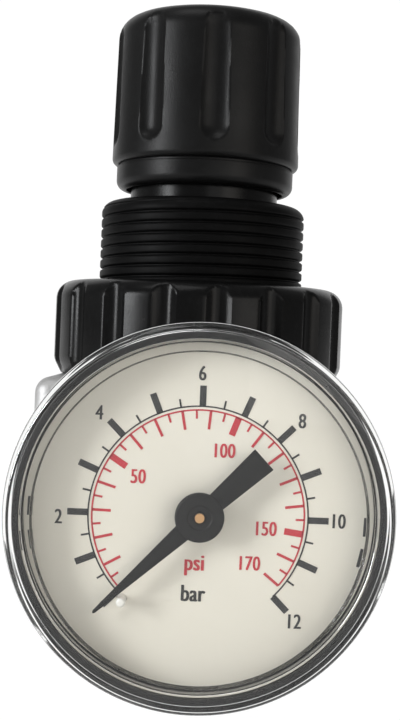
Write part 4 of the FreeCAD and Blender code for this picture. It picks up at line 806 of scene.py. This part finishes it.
def makePointer(size):
    # the blade is drawn as a straight strip of rows, and each row is then narrowed to its width
    rows = {-size["tail"]: size["tailWidth"], -size["rootReach"]: size["rootWidth"],
            size["rootReach"]: size["rootWidth"], size["length"] - size["point"]: size["tipWidth"],
            size["length"]: size["pointWidth"]}
    places = list(rows)
    blade = block((places[0], -size["tailWidth"] / 2, size["level"]),
                  (places[1], size["tailWidth"] / 2, size["level"] + size["thick"]))
    for here, there in zip(places[1:], places[2:]):
        selectWhere(blade, lambda centre, normal: normal.x > 0.9, kind="FACE")
        bpy.ops.mesh.extrude_region_move(TRANSFORM_OT_translate={"value": (there - here, 0, 0)})
    for place, wide in rows.items():
        selectWhere(blade, lambda point: abs(point.x - place) < nearby)
        bpy.ops.transform.resize(value=(1, wide / size["tailWidth"], 1),
                                 center_override=(place, 0, size["level"]))
    bpy.ops.object.mode_set(mode="OBJECT")
    softened(blade, size["edgeSoft"])
    low, top = size["level"] - size["hubUnder"], size["level"] + size["hubHigh"]
    sunk = top - size["ringDeep"]
    hub = turned([
        (size["bore"], low), (size["hubFoot"], low), (size["hub"], size["level"], size["hubSoft"]),
        (size["hub"], top, size["hubRound"]), (size["ringRadius"], top, size["ringSoft"]),
        (size["ringRadius"] - size["ringDeep"], sunk, size["ringSoft"]),
        (size["bore"] + size["boreBevel"], sunk, size["ringSoft"]), (size["bore"], top - size["boreDeep"])],
        steps=size["hubSteps"], arcSteps=size["hubArcSteps"])
    return joinAll([blade, hub])


def makeStop(size):
    low, high = size["dialBack"] + size["dialGap"], size["dialFront"] + size["stopHigh"]
    pin = turned([(0, low), (size["stopPin"], low), (size["stopPin"], high, size["stopRound"]), (0, high)],
                 steps=size["stopSteps"])
    editAll(pin)
    bpy.ops.transform.translate(value=(*stopPlace(size), 0))
    bpy.ops.object.mode_set(mode="OBJECT")
    return pin


settle(makePointer(pointer), "pointer_hand", finishes["pointerBlack"], "pointer",
       ["pointer"], gauge=True, spin=pointer["rest"])
settle(makeStop(gauge), "stop_pin_peg", finishes["pinWhite"], instead=["stop_pin"], gauge=True)

# cast body with threaded line ports
casting = {
    "left": -21.9, "right": 20.5, "half": 20.0, "high": -14.3, "low": -40.0, "round": 2.2, "roundSteps": 8,
    "collar": 18.3, "collarHigh": -6.0, "collarSoft": 0.3, "collarSunk": 1, "collarSteps": 128,
    "chamber": 13.4, "chamberLow": -12.0, "seatBore": 2.6, "seatLow": -23.0, "valveBore": 7.0,
    "plugBore": 9.4, "plugBoreHigh": -32.0, "boreSteps": 96,
    "portHeight": -27.2, "portRadius": 5.72, "portThread": 6.45, "portPitch": 1.337, "portDepth": 11.0,
    "tapRootShare": 0.6, "tapSoft": 0.06, "tapSteps": 48, "tapRunOut": 1, "tapOver": 0.2,
    "mouthOver": 0.5, "mouthLip": 0.02, "mouthDepth": 1.1, "mouthWithin": 0.1, "mouthSteps": 64,
    "gaugePort": 4.89, "gaugePortDepth": 8.5, "gaugePortSides": 48,
}


def makeTap(size):
    # a 60 degree vee thread with a narrow flat in its root
    flank = (size["portThread"] - size["portRadius"]) * math.tan(math.radians(30))
    rootFlat = (size["portPitch"] - 2 * flank) * size["tapRootShare"]
    return helixThread(size["portThread"], size["portRadius"], size["portPitch"], -size["tapOver"],
                       size["portDepth"] - size["tapRunOut"], size["tapSteps"], rootFlat + 2 * flank,
                       rootFlat, size["tapSoft"])


def makeCasting(size):
    body = block((size["left"], -size["half"], size["low"]), (size["right"], size["half"], size["high"]))
    softened(body, size["round"], size["roundSteps"])
    collarLow = size["high"] - size["collarSunk"]
    collar = turned([(0, collarLow), (size["collar"], collarLow),
                     (size["collar"], size["collarHigh"], size["collarSoft"]), (0, size["collarHigh"])],
                    steps=size["collarSteps"])
    cutWith(body, collar, "UNION")
    above, below = size["collarHigh"] + cutOver, size["low"] - cutOver
    bores = turned([(0, above), (size["chamber"], above), (size["chamber"], size["chamberLow"]),
                    (size["seatBore"], size["chamberLow"]), (size["seatBore"], size["seatLow"]),
                    (size["valveBore"], size["seatLow"]), (size["valveBore"], size["plugBoreHigh"]),
                    (size["plugBore"], size["plugBoreHigh"]), (size["plugBore"], below), (0, below)],
                   steps=size["boreSteps"])
    cutWith(body, bores)
    for side, face in ((-1, size["left"]), (1, size["right"])):
        wide, within = size["portThread"] + size["mouthOver"], size["portRadius"] - size["mouthWithin"]
        tap = makeTap(size)
        mouth = turned([(0, -cutOver), (wide, -cutOver), (wide, size["mouthLip"]),
                        (within, size["mouthDepth"]), (within, size["portDepth"]),
                        (0, size["portDepth"])], steps=size["mouthSteps"])
        for cutter in (tap, mouth):
            moveTo(cutter, Matrix.Translation((face, 0, size["portHeight"]))
                   @ Matrix.Rotation(math.radians(-90 * side), 4, "Y"))
            cutWith(body, cutter)
    for side in (-1, 1):
        port = prism(size["gaugePortSides"], size["gaugePort"], 0, size["gaugePortDepth"] + cutOver)
        moveTo(port, Matrix.Translation((0, side * (size["half"] + cutOver), size["portHeight"]))
               @ Matrix.Rotation(math.radians(90 * side), 4, "X"))
        cutWith(body, port)
    return body


settle(makeCasting(casting), "body_casting", finishes["zinc"], instead=["body"])

# floor, backdrop and light
stage = {
    "floorDrop": 0.0008, "reach": 1.6, "wallHigh": 2.2, "bend": 0.5, "bendSteps": 16,
    "white": 0.86, "dimmer": 0.985, "mottle": 30.0, "rough": 0.8, "glow": 1.05, "glowShare": 0.95,
    "worldLevel": 0.36,
}


def stageFinish(name, size):
    # white to the camera, in reflections and through the window, and a plain pale surface to the lamps
    made = bpy.data.materials.new(name)
    made.use_nodes = True
    tree = made.node_tree
    shader = tree.nodes["Principled BSDF"]
    where = addNode(tree, "TexCoord").outputs["Object"]
    tone = mixed(tree, noise(tree, where, scale=size["mottle"]), grey(size["white"]),
                 grey(size["white"] * size["dimmer"]))
    tree.links.new(tone, shader.inputs["Base Color"])
    shader.inputs["Roughness"].default_value = size["rough"]
    path = addNode(tree, "LightPath")
    seen = combined(tree, "MAXIMUM", path.outputs["Is Camera Ray"], path.outputs["Is Glossy Ray"])
    seenAll = combined(tree, "MAXIMUM", seen, path.outputs["Is Transmission Ray"])
    share = combined(tree, "MULTIPLY", seenAll, size["glowShare"])
    glow = addNode(tree, "Emission", [("Color", (1, 1, 1, 1)), ("Strength", size["glow"])])
    blend = addNode(tree, "MixShader", [(0, share), (1, shader.outputs[0]), (2, glow.outputs[0])])
    tree.links.new(blend.outputs[0], tree.nodes["Material Output"].inputs["Surface"])
    return made


# the floor's far edge is drawn up into a wall, and the corner between them is rounded
clearSelection()
bpy.ops.mesh.primitive_plane_add(size=2 * stage["reach"], location=(0, 0, cadLow.z - stage["floorDrop"]))
floorPiece = bpy.context.object
floorPiece.name = "floor"
farEdge = stage["reach"] * 0.9
selectWhere(floorPiece, lambda first, second: min(first.y, second.y) > farEdge, kind="EDGE")
bpy.ops.mesh.extrude_region_move(TRANSFORM_OT_translate={"value": (0, 0, stage["wallHigh"])})
selectWhere(floorPiece, lambda first, second: min(first.y, second.y) > farEdge
            and max(first.z, second.z) < 0.01, kind="EDGE")
bpy.ops.mesh.bevel(offset=stage["bend"], segments=stage["bendSteps"])
bpy.ops.object.mode_set(mode="OBJECT")
floorPiece.data.materials.append(stageFinish("floorWhite", stage))

world = bpy.context.scene.world or bpy.data.worlds.new("studio")
bpy.context.scene.world = world
world.use_nodes = True
skyTree = world.node_tree
skyPath = addNode(skyTree, "LightPath")
seenSky = combined(skyTree, "MAXIMUM", skyPath.outputs["Is Camera Ray"],
                   skyPath.outputs["Is Transmission Ray"])
skyLevel = remapped(skyTree, seenSky, onto=(stage["worldLevel"], 1.0))
skyTree.nodes["Background"].inputs["Color"].default_value = (1, 1, 1, 1)
skyTree.links.new(skyLevel, skyTree.nodes["Background"].inputs["Strength"])

lampAim = Vector((0, -0.02, -0.005))
lamps = {
    "key": {"place": (-0.56, -0.34, 0.12), "wide": 0.18, "high": 0.3, "power": 3.8,
            "tint": (0.97, 0.985, 1.0)},
    "fill": {"place": (0.46, -0.50, 0.08), "wide": 0.35, "high": 0.3, "power": 0.55,
             "tint": (1.0, 0.94, 0.86)},
    "front": {"place": (0.38, -0.78, 0.02), "wide": 0.7, "high": 0.6, "power": 1.8,
              "tint": (1.0, 0.985, 0.96)},
    "top": {"place": (-0.2, -0.25, 0.75), "wide": 0.4, "high": 0.4, "power": 1.5,
            "tint": (1.0, 1.0, 1.0)},
}
for lampName, lamp in lamps.items():
    clearSelection()
    bpy.ops.object.light_add(type="AREA", location=lamp["place"])
    light = bpy.context.object
    light.name = lampName
    light.data.shape = "RECTANGLE"
    light.data.size, light.data.size_y = lamp["wide"], lamp["high"]
    light.data.energy = lamp["power"]
    light.data.color = lamp["tint"]
    light.rotation_euler = (lampAim - Vector(lamp["place"])).to_track_quat("-Z", "Y").to_euler()

# camera
view = {"place": (-3.072, -184.053, -9.04), "yaw": 1.09, "pitch": -0.77, "roll": 2.38, "lens": 61.68,
        "sensor": 36, "nearest": 0.005}
yaw, pitch, roll = (math.radians(view[name]) for name in ("yaw", "pitch", "roll"))
forward = Vector((math.sin(yaw) * math.cos(pitch), math.cos(yaw) * math.cos(pitch), math.sin(pitch)))
level = Vector((math.cos(yaw), -math.sin(yaw), 0))
upright = level.cross(forward)
across = level * math.cos(roll) + upright * math.sin(roll)
above = upright * math.cos(roll) - level * math.sin(roll)
clearSelection()
bpy.ops.object.camera_add()
camera = bpy.context.object
camera.name = "view"
camera.data.sensor_width = view["sensor"]
camera.data.lens = view["lens"]
camera.data.clip_start = view["nearest"]
turnMatrix = Matrix((across, above, -forward)).transposed().to_4x4()
camera.matrix_world = Matrix.Translation(Vector(view["place"]) * mm) @ turnMatrix
bpy.context.scene.camera = camera
bpy.context.scene.view_settings.view_transform = "Standard"
print("camera and lamps placed")

clearSelection()
